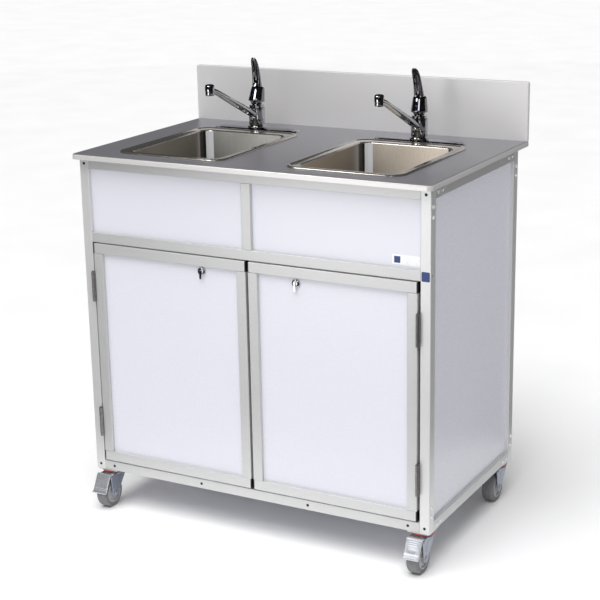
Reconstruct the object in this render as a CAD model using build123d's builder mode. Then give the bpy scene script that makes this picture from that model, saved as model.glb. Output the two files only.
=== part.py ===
from build123d import *
import math
import os

# Portable handwash sink: a square-tube cabinet on four casters, with two drop-in bowls.
# Millimetres. +X runs to the right, -Y is the front, +Z is up and Z = 0 is the floor.
# X = 0 is the middle of the cabinet; Y = 0 is half way from the pedal tips to the splash's back.

os.makedirs("parts", exist_ok=True)

# ---------------------------------------------------------------- driving dimensions
TUBE = 25.0
TUBE_WALL = 2.0
TUBE_CORNER = 1.5
FRAME_WIDTH = 924.0
FRAME_DEPTH = 520.0
FRAME_HEIGHT = 801.0
CASTER_HEIGHT = 100.0
TOTAL_DEPTH = 609.0
REAR_OVERHANG = 47.0
FRONT_OVERHANG = 21.5
SIDE_OVERHANG = 9.5
COUNTER_THICK = 13.0
COUNTER_CORNER = 12.0
COUNTER_EDGE = 4.0
SPLASH_THICK = 12.5
SPLASH_HEIGHT = 144.0
SPLASH_CORNER = 5.0
SPLASH_EDGE = 2.0
JOINT_GAP = 0.2
PANEL_THICK = 9.0
PANEL_RECESS = 8.0
MIDDLE_RAIL_Z = 707.5

SINK_X = 229.0
SINK_Y = -38.0
RIM_WIDTH = 298.0
RIM_LENGTH = 398.0
RIM_CORNER = 38.0
RIM_HEIGHT = 4.5
BEAD_WIDTH = 9.0
LEDGE_HEIGHT = 1.8
BOWL_WIDTH = 246.0
BOWL_LENGTH = 341.0
BOWL_CORNER = 26.0
BOWL_DEPTH = 150.0
BOWL_WALL = 1.2
BOWL_FLOOR_RADIUS = 20.0
CUTOUT_CLEARANCE = 5.0
DRAIN_HOLE_R = 26.0
TAILPIECE_BOTTOM = 712.0
TAILPIECE_R = 16.0

FAUCET_Y = 192.5
DECK_LENGTH = 246.0
DECK_DEPTH = 55.0
DECK_THICK = 8.0
BODY_R = 21.0
CORE_R = 15.0
SHANK_R = 12.0
SPOUT_RING_BOTTOM = 941.0
SPOUT_RING_TOP = 968.2
COLLAR_TOP = 971.3
SPOUT_REACH = 225.0
SPOUT_START_Z = 957.0
SPOUT_RISE_DEG = 24.5
AERATOR_R = 11.5
AERATOR_BOTTOM = 1032.0
AERATOR_JOINT_Z = 1042.0
SPOUT_HEAD_TOP = 1060.0
PIVOT_Z = 991.0
BALL_R = 17.0
SOCKET_GAP = 0.35
DOME_BOTTOM = 987.0
DOME_TOP = 1025.0
PADDLE_TOP = 1097.0
# How far each lever is tipped back from its lowest position.
LEVER_TILT_DEG = {"left": 10.0, "right": 0.0}

DOOR_BOTTOM = 128.0
DOOR_HEIGHT = 565.0
DOOR_WIDTH = 429.0
DOOR_OUTER_GAP = 5.0
DOOR_PROUD = 4.0
CAP_THICK = 2.5
HINGE_LENGTH = 75.0
HINGE_CENTRES_Z = (231.5, 584.5)
HINGE_KNUCKLES = 5
HINGE_PROUD = 8.0
KNUCKLE_R = 4.5
KNUCKLE_GAP = 0.4
LEAF_THICK = 1.5
LEAF_DEPTH = 20.0
PIN_R = 2.5
LOCK_X = 126.5
LOCK_Z = 654.5
LOCK_BEZEL_R = 10.5
LOCK_BARREL_R = 8.0
LOCK_PLUG_R = 5.5
CAM_LENGTH = 52.0
CAM_WIDTH = 14.0
CAM_THICK = 3.0
CAM_GAP = 1.0

CASTER_INSET = 30.0
CASTER_TRAIL = 25.0
CASTER_PLATE = 58.0
WHEEL_R = 37.5
TYRE_WIDTH = 31.0
HUB_R = 27.0
HUB_WIDTH = 34.0
AXLE_R = 4.0
FORK_LEG_INSIDE = 17.5
FORK_LEG_THICK = 3.0
RUNNING_GAP = 0.05
PEDAL_WIDTH = 42.0

# ---------------------------------------------------------------- derived places
SPLASH_BACK = TOTAL_DEPTH / 2
BACK = SPLASH_BACK - REAR_OVERHANG
FRONT = BACK - FRAME_DEPTH
MIDDLE_Y = (FRONT + BACK) / 2
RIGHT = FRAME_WIDTH / 2
HALF_TUBE = TUBE / 2
TUBE_BORE = TUBE - 2 * TUBE_WALL
FRAME_TOP = CASTER_HEIGHT + FRAME_HEIGHT
COUNTER_TOP = FRAME_TOP + COUNTER_THICK
INNER_X = RIGHT - TUBE
INNER_FRONT = FRONT + TUBE
INNER_BACK = BACK - TUBE
INNER_DEPTH = INNER_BACK - INNER_FRONT
INNER_BOTTOM = CASTER_HEIGHT + TUBE
INNER_TOP = FRAME_TOP - TUBE
INNER_HEIGHT = INNER_TOP - INNER_BOTTOM
BOTTOM_RAIL_Z = CASTER_HEIGHT + HALF_TUBE
TOP_RAIL_Z = FRAME_TOP - HALF_TUBE
FLOOR_TOP = INNER_BOTTOM - PANEL_RECESS
PANEL_FRONT = FRONT + PANEL_RECESS
PANEL_MIDDLE = PANEL_RECESS + PANEL_THICK / 2
SIDES = (("left", -1), ("right", 1))
FRONT_PLANE = Plane.XZ.offset(-FRONT)


def write(builder, name):
    """Label a finished sub-part and write its STEP file."""
    builder.part.label = name
    export_step(builder.part, f"parts/{name}.step")


# ---------------------------------------------------------------- screw places on the frame
SCREW_INSET = 11.0
RAIL_SCREW_REACH = (38.0, 61.5)
POST_SCREW_REACH = (40.0, 63.5)
SCREW_HOLE_R = 2.5
FRONT_SCREW_R = 3.6
FRONT_SCREW_GAP = 0.1
RAIL_SCREW_X = (-408.0, -148.0, 148.0, 408.0)
SIDE_PORT_R = 3.0
SIDE_PORT_PLACE = (FRONT + 8.5, 708.0)

# Side-face screws, as (y, z): two in each leg of each corner bracket.
corner_ends = [
    (end_y, toward_y, end_z, toward_z)
    for end_y, toward_y in ((FRONT, 1), (BACK, -1))
    for end_z, toward_z in ((CASTER_HEIGHT, 1), (FRAME_TOP, -1))
]
side_screw_places = []
for end_y, toward_y, end_z, toward_z in corner_ends:
    for reach in RAIL_SCREW_REACH:
        side_screw_places.append((end_y + toward_y * reach, end_z + toward_z * SCREW_INSET))
    for reach in POST_SCREW_REACH:
        side_screw_places.append((end_y + toward_y * SCREW_INSET, end_z + toward_z * reach))
post_front_places = [
    (x_sign * (RIGHT - HALF_TUBE), z) for x_sign in (-1, 1) for z in (BOTTOM_RAIL_Z, TOP_RAIL_Z)
]
rail_front_places = [(x, BOTTOM_RAIL_Z) for x in RAIL_SCREW_X]

# ---------------------------------------------------------------- corner brackets
# Flat L plates inside the tubes, just behind the outer walls of the side frames.
BRACKET_THICK = 2.0
BRACKET_WIDTH = 17.0
BRACKET_LEG = 74.0
BRACKET_INSET = 3.5
BRACKET_GAP = 0.1
BRACKET_OUTER_X = RIGHT - TUBE_WALL - BRACKET_GAP
SLOT_PLAY = 0.3

with BuildPart() as corner_brackets:
    for x_sign in (-1, 1):
        with BuildSketch(Plane.YZ.offset(x_sign * BRACKET_OUTER_X)):
            for end_y, toward_y, end_z, toward_z in corner_ends:
                leg_start = BRACKET_INSET + BRACKET_WIDTH / 2
                leg_middle = BRACKET_INSET + BRACKET_LEG / 2
                with Locations((end_y + toward_y * leg_middle, end_z + toward_z * leg_start)):
                    Rectangle(BRACKET_LEG, BRACKET_WIDTH)
                with Locations((end_y + toward_y * leg_start, end_z + toward_z * leg_middle)):
                    Rectangle(BRACKET_WIDTH, BRACKET_LEG)
            with Locations(*side_screw_places):
                Circle(SCREW_HOLE_R, mode=Mode.SUBTRACT)
        extrude(amount=-x_sign * BRACKET_THICK)
write(corner_brackets, "corner_brackets")

# ---------------------------------------------------------------- posts and rails
with BuildPart() as frame_posts:
    with BuildSketch(Plane.XY.offset(CASTER_HEIGHT)):
        with Locations((0, MIDDLE_Y)):
            with GridLocations(FRAME_WIDTH - TUBE, FRAME_DEPTH - TUBE, 2, 2):
                RectangleRounded(TUBE, TUBE, TUBE_CORNER)
                Rectangle(TUBE_BORE, TUBE_BORE, mode=Mode.SUBTRACT)
    extrude(amount=FRAME_HEIGHT)
    for x_sign in (-1, 1):
        with BuildSketch(Plane.YZ.offset(x_sign * RIGHT)):
            with Locations(*side_screw_places):
                Circle(SCREW_HOLE_R)
            with Locations(SIDE_PORT_PLACE):
                Circle(SIDE_PORT_R)
        extrude(amount=-x_sign * TUBE_WALL, mode=Mode.SUBTRACT)
        # Slots that let each bracket's rail leg pass through the post's wall.
        with BuildSketch(Plane.YZ.offset(x_sign * (BRACKET_OUTER_X + SLOT_PLAY))):
            for end_y, toward_y, end_z, toward_z in corner_ends:
                slot_y = end_y + toward_y * (TUBE - TUBE_WALL / 2)
                slot_z = end_z + toward_z * (BRACKET_INSET + BRACKET_WIDTH / 2)
                with Locations((slot_y, slot_z)):
                    Rectangle(TUBE_WALL, BRACKET_WIDTH + 2 * SLOT_PLAY)
        extrude(amount=-x_sign * (BRACKET_THICK + 2 * SLOT_PLAY), mode=Mode.SUBTRACT)
    with BuildSketch(FRONT_PLANE):
        with Locations(*post_front_places):
            Circle(FRONT_SCREW_R)
    extrude(amount=-TUBE_WALL, mode=Mode.SUBTRACT)
write(frame_posts, "frame_posts")

with BuildPart() as front_rails:
    with BuildSketch(Plane.YZ.offset(-INNER_X)):
        with Locations(*[(FRONT + HALF_TUBE, z) for z in (BOTTOM_RAIL_Z, MIDDLE_RAIL_Z, TOP_RAIL_Z)]):
            RectangleRounded(TUBE, TUBE, TUBE_CORNER)
            Rectangle(TUBE_BORE, TUBE_BORE, mode=Mode.SUBTRACT)
    extrude(amount=2 * INNER_X)
    mullion_bottom = MIDDLE_RAIL_Z + HALF_TUBE + JOINT_GAP
    with BuildSketch(Plane.XY.offset(mullion_bottom)):
        with Locations((0, FRONT + HALF_TUBE)):
            RectangleRounded(TUBE, TUBE, TUBE_CORNER)
            Rectangle(TUBE_BORE, TUBE_BORE, mode=Mode.SUBTRACT)
    extrude(amount=INNER_TOP - JOINT_GAP - mullion_bottom)
    with BuildSketch(FRONT_PLANE):
        with Locations(*rail_front_places):
            Circle(FRONT_SCREW_R)
    extrude(amount=-TUBE_WALL, mode=Mode.SUBTRACT)
write(front_rails, "front_rails")

with BuildPart() as rear_rails:
    with BuildSketch(Plane.YZ.offset(-INNER_X)):
        with Locations(*[(BACK - HALF_TUBE, z) for z in (BOTTOM_RAIL_Z, TOP_RAIL_Z)]):
            RectangleRounded(TUBE, TUBE, TUBE_CORNER)
            Rectangle(TUBE_BORE, TUBE_BORE, mode=Mode.SUBTRACT)
    extrude(amount=2 * INNER_X)
write(rear_rails, "rear_rails")

with BuildPart() as side_rails:
    with BuildSketch(Plane.XZ.offset(-INNER_FRONT)):
        with Locations((0, (BOTTOM_RAIL_Z + TOP_RAIL_Z) / 2)):
            with GridLocations(FRAME_WIDTH - TUBE, TOP_RAIL_Z - BOTTOM_RAIL_Z, 2, 2):
                RectangleRounded(TUBE, TUBE, TUBE_CORNER)
                Rectangle(TUBE_BORE, TUBE_BORE, mode=Mode.SUBTRACT)
    extrude(amount=-INNER_DEPTH)
    for x_sign in (-1, 1):
        with BuildSketch(Plane.YZ.offset(x_sign * RIGHT)):
            with Locations(*side_screw_places):
                Circle(SCREW_HOLE_R)
        extrude(amount=-x_sign * TUBE_WALL, mode=Mode.SUBTRACT)
write(side_rails, "side_rails")

# ---------------------------------------------------------------- screws
HEAD_R = 4.6
HEAD_HEIGHT = 2.4
HEAD_ROUND = 1.4
SHANK_LENGTH = 7.0
SHANK_PLAY = 0.1
NEAR = 0.01

with BuildPart() as side_screws:
    for x_sign in (-1, 1):
        with BuildSketch(Plane.YZ.offset(x_sign * RIGHT)):
            with Locations(*side_screw_places):
                Circle(HEAD_R)
        extrude(amount=x_sign * HEAD_HEIGHT)
        outer_x = x_sign * (RIGHT + HEAD_HEIGHT)
        rims = side_screws.edges().filter_by(GeomType.CIRCLE).filter_by_position(
            Axis.X, outer_x - NEAR, outer_x + NEAR
        )
        fillet(rims, radius=HEAD_ROUND)
        with BuildSketch(Plane.YZ.offset(x_sign * RIGHT)):
            with Locations(*side_screw_places):
                Circle(SCREW_HOLE_R - SHANK_PLAY)
        extrude(amount=-x_sign * SHANK_LENGTH)
write(side_screws, "side_screws")

SOCKET_R = 1.9
SOCKET_DEPTH = 1.3
FRONT_SCREW_SINK = 0.4
FRONT_SCREW_LENGTH = 8.0

with BuildPart() as front_screws:
    with BuildSketch(FRONT_PLANE.offset(-FRONT_SCREW_SINK)):
        with Locations(*post_front_places, *rail_front_places):
            Circle(FRONT_SCREW_R - FRONT_SCREW_GAP)
    extrude(amount=-FRONT_SCREW_LENGTH)
    with BuildSketch(FRONT_PLANE.offset(-FRONT_SCREW_SINK)):
        with Locations(*post_front_places, *rail_front_places):
            RegularPolygon(SOCKET_R, 6)
    extrude(amount=-SOCKET_DEPTH, mode=Mode.SUBTRACT)
write(front_screws, "front_screws")

# ---------------------------------------------------------------- panels
UPPER_PANEL_WIDTH = INNER_X - HALF_TUBE
UPPER_PANEL_BOTTOM = MIDDLE_RAIL_Z + HALF_TUBE
UPPER_PANEL_HEIGHT = INNER_TOP - UPPER_PANEL_BOTTOM

with BuildPart() as upper_panels:
    with BuildSketch(Plane.XZ.offset(-PANEL_FRONT)):
        with Locations((0, UPPER_PANEL_BOTTOM + UPPER_PANEL_HEIGHT / 2)):
            with GridLocations(UPPER_PANEL_WIDTH + TUBE, 0, 2, 1):
                Rectangle(UPPER_PANEL_WIDTH, UPPER_PANEL_HEIGHT)
    extrude(amount=-PANEL_THICK)
write(upper_panels, "upper_panels")

with BuildPart() as side_panels:
    with BuildSketch(Plane.XY.offset(INNER_BOTTOM)):
        with Locations((0, MIDDLE_Y)):
            with GridLocations(2 * (RIGHT - PANEL_MIDDLE), 0, 2, 1):
                Rectangle(PANEL_THICK, INNER_DEPTH)
    extrude(amount=INNER_HEIGHT)
write(side_panels, "side_panels")

INLET_X = 330.0
INLET_Z = 190.0
INLET_CUT_WIDTH = 27.0
INLET_CUT_HEIGHT = 20.0
SWITCH_Z = 230.0
SWITCH_CUT_WIDTH = 20.0
SWITCH_CUT_HEIGHT = 14.0
REAR_PANEL_BACK = BACK - PANEL_RECESS
REAR_PLANE = Plane.XZ.offset(-REAR_PANEL_BACK)

with BuildPart() as rear_panel:
    with BuildSketch(REAR_PLANE):
        with Locations((0, INNER_BOTTOM + INNER_HEIGHT / 2)):
            Rectangle(2 * INNER_X, INNER_HEIGHT)
        with Locations((INLET_X, INLET_Z)):
            Rectangle(INLET_CUT_WIDTH, INLET_CUT_HEIGHT, mode=Mode.SUBTRACT)
        with Locations((INLET_X, SWITCH_Z)):
            Rectangle(SWITCH_CUT_WIDTH, SWITCH_CUT_HEIGHT, mode=Mode.SUBTRACT)
    extrude(amount=PANEL_THICK)
write(rear_panel, "rear_panel")

with BuildPart() as floor_panel:
    with BuildSketch(Plane.XY.offset(FLOOR_TOP)):
        with Locations((0, MIDDLE_Y)):
            Rectangle(2 * INNER_X, INNER_DEPTH)
    extrude(amount=-PANEL_THICK)
write(floor_panel, "floor_panel")

# ---------------------------------------------------------------- countertop and backsplash
COUNTER_WIDTH = FRAME_WIDTH + 2 * SIDE_OVERHANG
COUNTER_FRONT = FRONT - FRONT_OVERHANG
COUNTER_DEPTH = SPLASH_BACK - COUNTER_FRONT
COUNTER_MIDDLE_Y = (SPLASH_BACK + COUNTER_FRONT) / 2
REAR_CORNER = 3.0
FAUCET_HOLE_R = SHANK_R + 2.0
sink_centres = [(sign * SINK_X, SINK_Y) for name, sign in SIDES]
faucet_centres = [(sign * SINK_X, FAUCET_Y) for name, sign in SIDES]

with BuildPart() as countertop:
    with BuildSketch(Plane.XY.offset(FRAME_TOP)) as counter_outline:
        with Locations((0, COUNTER_MIDDLE_Y)):
            Rectangle(COUNTER_WIDTH, COUNTER_DEPTH)
        corners = counter_outline.vertices().group_by(Axis.Y)
        fillet(corners[0], radius=COUNTER_CORNER)
        fillet(counter_outline.vertices().group_by(Axis.Y)[-1], radius=REAR_CORNER)
    extrude(amount=COUNTER_THICK)
    top_edges = countertop.faces().sort_by(Axis.Z)[-1].edges().sort_by(Axis.Y)[:-1]
    free_edges = top_edges.filter_by_position(Axis.Y, COUNTER_FRONT, SPLASH_BACK - REAR_OVERHANG)
    fillet(free_edges, COUNTER_EDGE)
    with BuildSketch(Plane.XY.offset(FRAME_TOP)):
        with Locations(*sink_centres):
            RectangleRounded(
                BOWL_WIDTH + 2 * CUTOUT_CLEARANCE,
                BOWL_LENGTH + 2 * CUTOUT_CLEARANCE,
                BOWL_CORNER + CUTOUT_CLEARANCE,
            )
        with Locations(*faucet_centres):
            Circle(FAUCET_HOLE_R)
    extrude(amount=COUNTER_THICK, mode=Mode.SUBTRACT)
write(countertop, "countertop")

with BuildPart() as backsplash:
    with BuildSketch(Plane.XZ.offset(-SPLASH_BACK)) as splash_face:
        with Locations((0, COUNTER_TOP + SPLASH_HEIGHT / 2)):
            Rectangle(COUNTER_WIDTH, SPLASH_HEIGHT)
        fillet(splash_face.vertices().group_by(Axis.Y)[-1], radius=SPLASH_CORNER)
    extrude(amount=SPLASH_THICK)
    fillet(backsplash.edges().filter_by(Axis.X).sort_by(Axis.Z)[-2:], radius=SPLASH_EDGE)
write(backsplash, "backsplash")

# ---------------------------------------------------------------- bowls
BOWL_BOTTOM = COUNTER_TOP - BOWL_DEPTH
BOWL_FLOOR = BOWL_BOTTOM + BOWL_WALL
LEDGE_TOP = COUNTER_TOP + LEDGE_HEIGHT
BEAD_ROUND = 2.1

for side, sign in SIDES:
    centre = (sign * SINK_X, SINK_Y)
    with BuildPart() as sink:
        with BuildSketch(Plane.XY.offset(LEDGE_TOP)):
            with Locations(centre):
                RectangleRounded(
                    BOWL_WIDTH + 2 * BOWL_WALL, BOWL_LENGTH + 2 * BOWL_WALL, BOWL_CORNER + BOWL_WALL
                )
        extrude(amount=BOWL_BOTTOM - LEDGE_TOP)
        fillet(sink.faces().sort_by(Axis.Z)[0].edges(), radius=BOWL_FLOOR_RADIUS)
        offset(amount=-BOWL_WALL, openings=sink.faces().sort_by(Axis.Z)[-1])
        with BuildSketch(Plane.XY.offset(LEDGE_TOP)):
            with Locations(centre):
                RectangleRounded(
                    RIM_WIDTH - BEAD_WIDTH, RIM_LENGTH - BEAD_WIDTH, RIM_CORNER - BEAD_WIDTH / 2
                )
                RectangleRounded(BOWL_WIDTH, BOWL_LENGTH, BOWL_CORNER, mode=Mode.SUBTRACT)
        extrude(amount=-BOWL_WALL)
        with BuildSketch(Plane.XY.offset(COUNTER_TOP)):
            with Locations(centre):
                RectangleRounded(RIM_WIDTH, RIM_LENGTH, RIM_CORNER)
                RectangleRounded(
                    RIM_WIDTH - 2 * BEAD_WIDTH,
                    RIM_LENGTH - 2 * BEAD_WIDTH,
                    RIM_CORNER - BEAD_WIDTH,
                    mode=Mode.SUBTRACT,
                )
        extrude(amount=RIM_HEIGHT)
        fillet(sink.faces().sort_by(Axis.Z)[-1].edges(), radius=BEAD_ROUND)
        with BuildSketch(Plane.XY.offset(BOWL_BOTTOM)):
            with Locations(centre):
                Circle(DRAIN_HOLE_R)
        extrude(amount=BOWL_WALL, mode=Mode.SUBTRACT)
    write(sink, f"{side}_sink")

# ---------------------------------------------------------------- drains and strainer baskets
DRAIN_R = DRAIN_HOLE_R - 0.2
DRAIN_BORE_R = 24.0
DRAIN_FLANGE_R = 37.0
DRAIN_FLANGE_THICK = 2.0
DRAIN_FLOOR_Z = 733.0
DRAIN_WALL = 2.0
SEAL_GAP = 0.1
DRAIN_FLANGE_TOP = BOWL_FLOOR + DRAIN_FLANGE_THICK
LOCKNUT_R = 33.0
LOCKNUT_THICK = 9.0

with BuildPart() as drain_fittings:
    for x, y in sink_centres:
        axis_plane = Plane(origin=(x, y, 0), x_dir=(1, 0, 0), z_dir=(0, -1, 0))
        with BuildSketch(axis_plane):
            with BuildLine():
                Polyline(
                    (TAILPIECE_R - DRAIN_WALL, TAILPIECE_BOTTOM),
                    (TAILPIECE_R, TAILPIECE_BOTTOM),
                    (TAILPIECE_R, DRAIN_FLOOR_Z - DRAIN_WALL),
                    (DRAIN_R, DRAIN_FLOOR_Z - DRAIN_WALL),
                    (DRAIN_R, BOWL_FLOOR + SEAL_GAP),
                    (DRAIN_FLANGE_R, BOWL_FLOOR + SEAL_GAP),
                    (DRAIN_FLANGE_R, DRAIN_FLANGE_TOP),
                    (DRAIN_BORE_R, DRAIN_FLANGE_TOP),
                    (DRAIN_BORE_R, DRAIN_FLOOR_Z),
                    (TAILPIECE_R - DRAIN_WALL, DRAIN_FLOOR_Z),
                    close=True,
                )
            make_face()
        revolve(axis=Axis((x, y, 0), (0, 0, 1)))
        with BuildSketch(Plane.XY.offset(BOWL_BOTTOM - SEAL_GAP)):
            with Locations((x, y)):
                RegularPolygon(LOCKNUT_R, 8)
                Circle(DRAIN_R + SEAL_GAP, mode=Mode.SUBTRACT)
        extrude(amount=-LOCKNUT_THICK)
write(drain_fittings, "drain_fittings")

BASKET_R = 22.5
BASKET_WALL = 1.0
BASKET_DEPTH = 18.0
BASKET_FLANGE_R = 33.0
BASKET_FLANGE_THICK = 1.2
BASKET_SEAT = DRAIN_FLANGE_TOP + 0.3
BASKET_BOTTOM = BASKET_SEAT - BASKET_DEPTH
BASKET_TOP = BASKET_SEAT + BASKET_FLANGE_THICK
KNOB_R = 6.0
STEM_R = 3.0
BASKET_HOLE_RINGS = ((8.0, 8), (13.0, 12), (18.0, 16))
BASKET_HOLE_R = 1.4

for side, sign in SIDES:
    x = sign * SINK_X
    with BuildPart() as strainer:
        with BuildSketch(Plane.XY.offset(BASKET_BOTTOM)):
            with Locations((x, SINK_Y)):
                Circle(BASKET_R)
        extrude(amount=BASKET_TOP - BASKET_BOTTOM)
        with BuildSketch(Plane.XY.offset(BASKET_TOP - BASKET_FLANGE_THICK)):
            with Locations((x, SINK_Y)):
                Circle(BASKET_FLANGE_R)
        extrude(amount=BASKET_FLANGE_THICK)
        with BuildSketch(Plane.XY.offset(BASKET_BOTTOM + BASKET_WALL)):
            with Locations((x, SINK_Y)):
                Circle(BASKET_R - BASKET_WALL)
        extrude(amount=BASKET_DEPTH + BASKET_FLANGE_THICK, mode=Mode.SUBTRACT)
        with BuildSketch(Plane.XY.offset(BASKET_BOTTOM)):
            for ring_r, hole_count in BASKET_HOLE_RINGS:
                with Locations((x, SINK_Y)):
                    with PolarLocations(ring_r, hole_count):
                        Circle(BASKET_HOLE_R)
        extrude(amount=BASKET_WALL, mode=Mode.SUBTRACT)
        with BuildSketch(Plane.XY.offset(BASKET_BOTTOM)):
            with Locations((x, SINK_Y)):
                Circle(STEM_R)
        extrude(amount=BASKET_DEPTH + KNOB_R)
        with Locations((x, SINK_Y, BASKET_TOP + KNOB_R)):
            Sphere(KNOB_R)
    write(strainer, f"{side}_strainer")

# ---------------------------------------------------------------- faucets
DECK_ROUND = 4.8
SPLIT = 0.3
BASE_RING_R = 24.0
BASE_RING_HEIGHT = 4.0
DECK_TOP = COUNTER_TOP + DECK_THICK
SHANK_BOTTOM = 856.0
SHANK_NUT_R = 21.0
SHANK_NUT_THICK = 8.0
SHANK_NUT_TOP = FRAME_TOP - 0.1
COLLAR_R = 22.0

with BuildPart() as faucet_bodies:
    with BuildSketch(Plane.XY.offset(COUNTER_TOP)):
        with Locations(*faucet_centres):
            SlotOverall(DECK_LENGTH, DECK_DEPTH)
    extrude(amount=DECK_THICK)
    fillet(faucet_bodies.faces().group_by(Axis.Z)[-1].edges(), radius=DECK_ROUND)
    for radius, bottom, top in (
        (SHANK_R, SHANK_BOTTOM, COUNTER_TOP),
        (BASE_RING_R, DECK_TOP, DECK_TOP + BASE_RING_HEIGHT),
        (BODY_R, DECK_TOP, SPOUT_RING_BOTTOM - SPLIT),
        (CORE_R, DECK_TOP, COLLAR_TOP),
    ):
        with BuildSketch(Plane.XY.offset(bottom)):
            with Locations(*faucet_centres):
                Circle(radius)
        extrude(amount=top - bottom)
    # The collar nut above the spout, and the lock nut under the countertop.
    for outer_r, inner_r, bottom, top in (
        (COLLAR_R, CORE_R + RUNNING_GAP, SPOUT_RING_TOP + SPLIT, COLLAR_TOP),
        (SHANK_NUT_R, SHANK_R + RUNNING_GAP, SHANK_NUT_TOP - SHANK_NUT_THICK, SHANK_NUT_TOP),
    ):
        with BuildSketch(Plane.XY.offset(bottom)):
            with Locations(*faucet_centres):
                Circle(outer_r)
                Circle(inner_r, mode=Mode.SUBTRACT)
        extrude(amount=top - bottom)
write(faucet_bodies, "faucet_bodies")

SPOUT_ROOT_SIZE = (22.0, 18.5)
SPOUT_TIP_SIZE = (16.0, 13.0)
SPOUT_ROOT_OUT = 17.5
SPOUT_TIP_OUT = SPOUT_REACH - 2.0
SPOUT_HEAD_ROUND = 3.0
AERATOR_STEP = 0.6
AERATOR_RIM = 3.0
AERATOR_MOUTH = 3.0

for side, sign in SIDES:
    x = sign * SINK_X
    rise = math.radians(SPOUT_RISE_DEG)
    along = (0, -math.cos(rise), math.sin(rise))
    with BuildPart() as spout:
        for distance, size in ((SPOUT_ROOT_OUT, SPOUT_ROOT_SIZE), (SPOUT_TIP_OUT, SPOUT_TIP_SIZE)):
            middle_z = SPOUT_START_Z + (distance - BODY_R) * math.tan(rise)
            middle = (x, FAUCET_Y - distance, middle_z)
            with BuildSketch(Plane(origin=middle, x_dir=(1, 0, 0), z_dir=along)):
                Ellipse(size[0] / 2, size[1] / 2)
        loft()
        with BuildSketch(Plane.XY.offset(SPOUT_RING_BOTTOM)):
            with Locations((x, FAUCET_Y)):
                Circle(BODY_R)
        extrude(amount=SPOUT_RING_TOP - SPOUT_RING_BOTTOM)
        with BuildSketch(Plane.XY.offset(SPOUT_RING_BOTTOM)):
            with Locations((x, FAUCET_Y)):
                Circle(CORE_R + RUNNING_GAP)
        extrude(amount=SPOUT_HEAD_TOP - SPOUT_RING_BOTTOM, mode=Mode.SUBTRACT)
        tip = (x, FAUCET_Y - SPOUT_REACH)
        with BuildSketch(Plane.XY.offset(AERATOR_JOINT_Z + JOINT_GAP)):
            with Locations(tip):
                Circle(AERATOR_R)
        extrude(amount=SPOUT_HEAD_TOP - AERATOR_JOINT_Z - JOINT_GAP)
        fillet(spout.faces().sort_by(Axis.Z)[-1].edges(), radius=SPOUT_HEAD_ROUND)
        with BuildSketch(Plane.XY.offset(AERATOR_BOTTOM)):
            with Locations(tip):
                Circle(AERATOR_R - AERATOR_STEP)
        extrude(amount=AERATOR_JOINT_Z - AERATOR_BOTTOM)
        with BuildSketch(Plane.XY.offset(AERATOR_BOTTOM)):
            with Locations(tip):
                Circle(AERATOR_R - AERATOR_RIM)
        extrude(amount=AERATOR_MOUTH, mode=Mode.SUBTRACT)
    write(spout, f"{side}_spout")

NECK_R = 19.0
NECK_TOP = 978.5
BALL_TOP = 1001.0

for side, sign in SIDES:
    x = sign * SINK_X
    with BuildPart() as cartridge:
        with Locations((x, FAUCET_Y, PIVOT_Z)):
            Sphere(BALL_R)
        with BuildSketch(Plane.XY.offset(NECK_TOP)):
            with Locations((x, FAUCET_Y)):
                Circle(NECK_R)
        extrude(amount=BALL_TOP - NECK_TOP, mode=Mode.INTERSECT)
        with BuildSketch(Plane.XY.offset(COLLAR_TOP + SPLIT)):
            with Locations((x, FAUCET_Y)):
                Circle(NECK_R)
        extrude(amount=NECK_TOP - COLLAR_TOP - SPLIT)
    write(cartridge, f"{side}_cartridge")

PADDLE_ROOT_WIDTH = 27.0
PADDLE_TIP_R = 9.5
DOME_TOP_R = 17.0
DOME_LEAN = 3.5
DOME_ROUND = 4.0
PADDLE_ROOT_Z = 1012.0
# Side view of the lever, as (y from the faucet's axis, z): its front, tip and back arcs.
PADDLE_FRONT = ((-10.0, PADDLE_ROOT_Z), (-16.0, 1057.0), (-33.0, 1093.0))
PADDLE_TIP = (PADDLE_FRONT[-1], (-31.5, 1096.2), (-28.0, PADDLE_TOP))
PADDLE_BACK = (PADDLE_TIP[-1], (-8.0, 1062.0), (14.0, PADDLE_ROOT_Z))
PADDLE_FOOT = 2.0
PADDLE_CUT_REACH = 60.0

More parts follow.
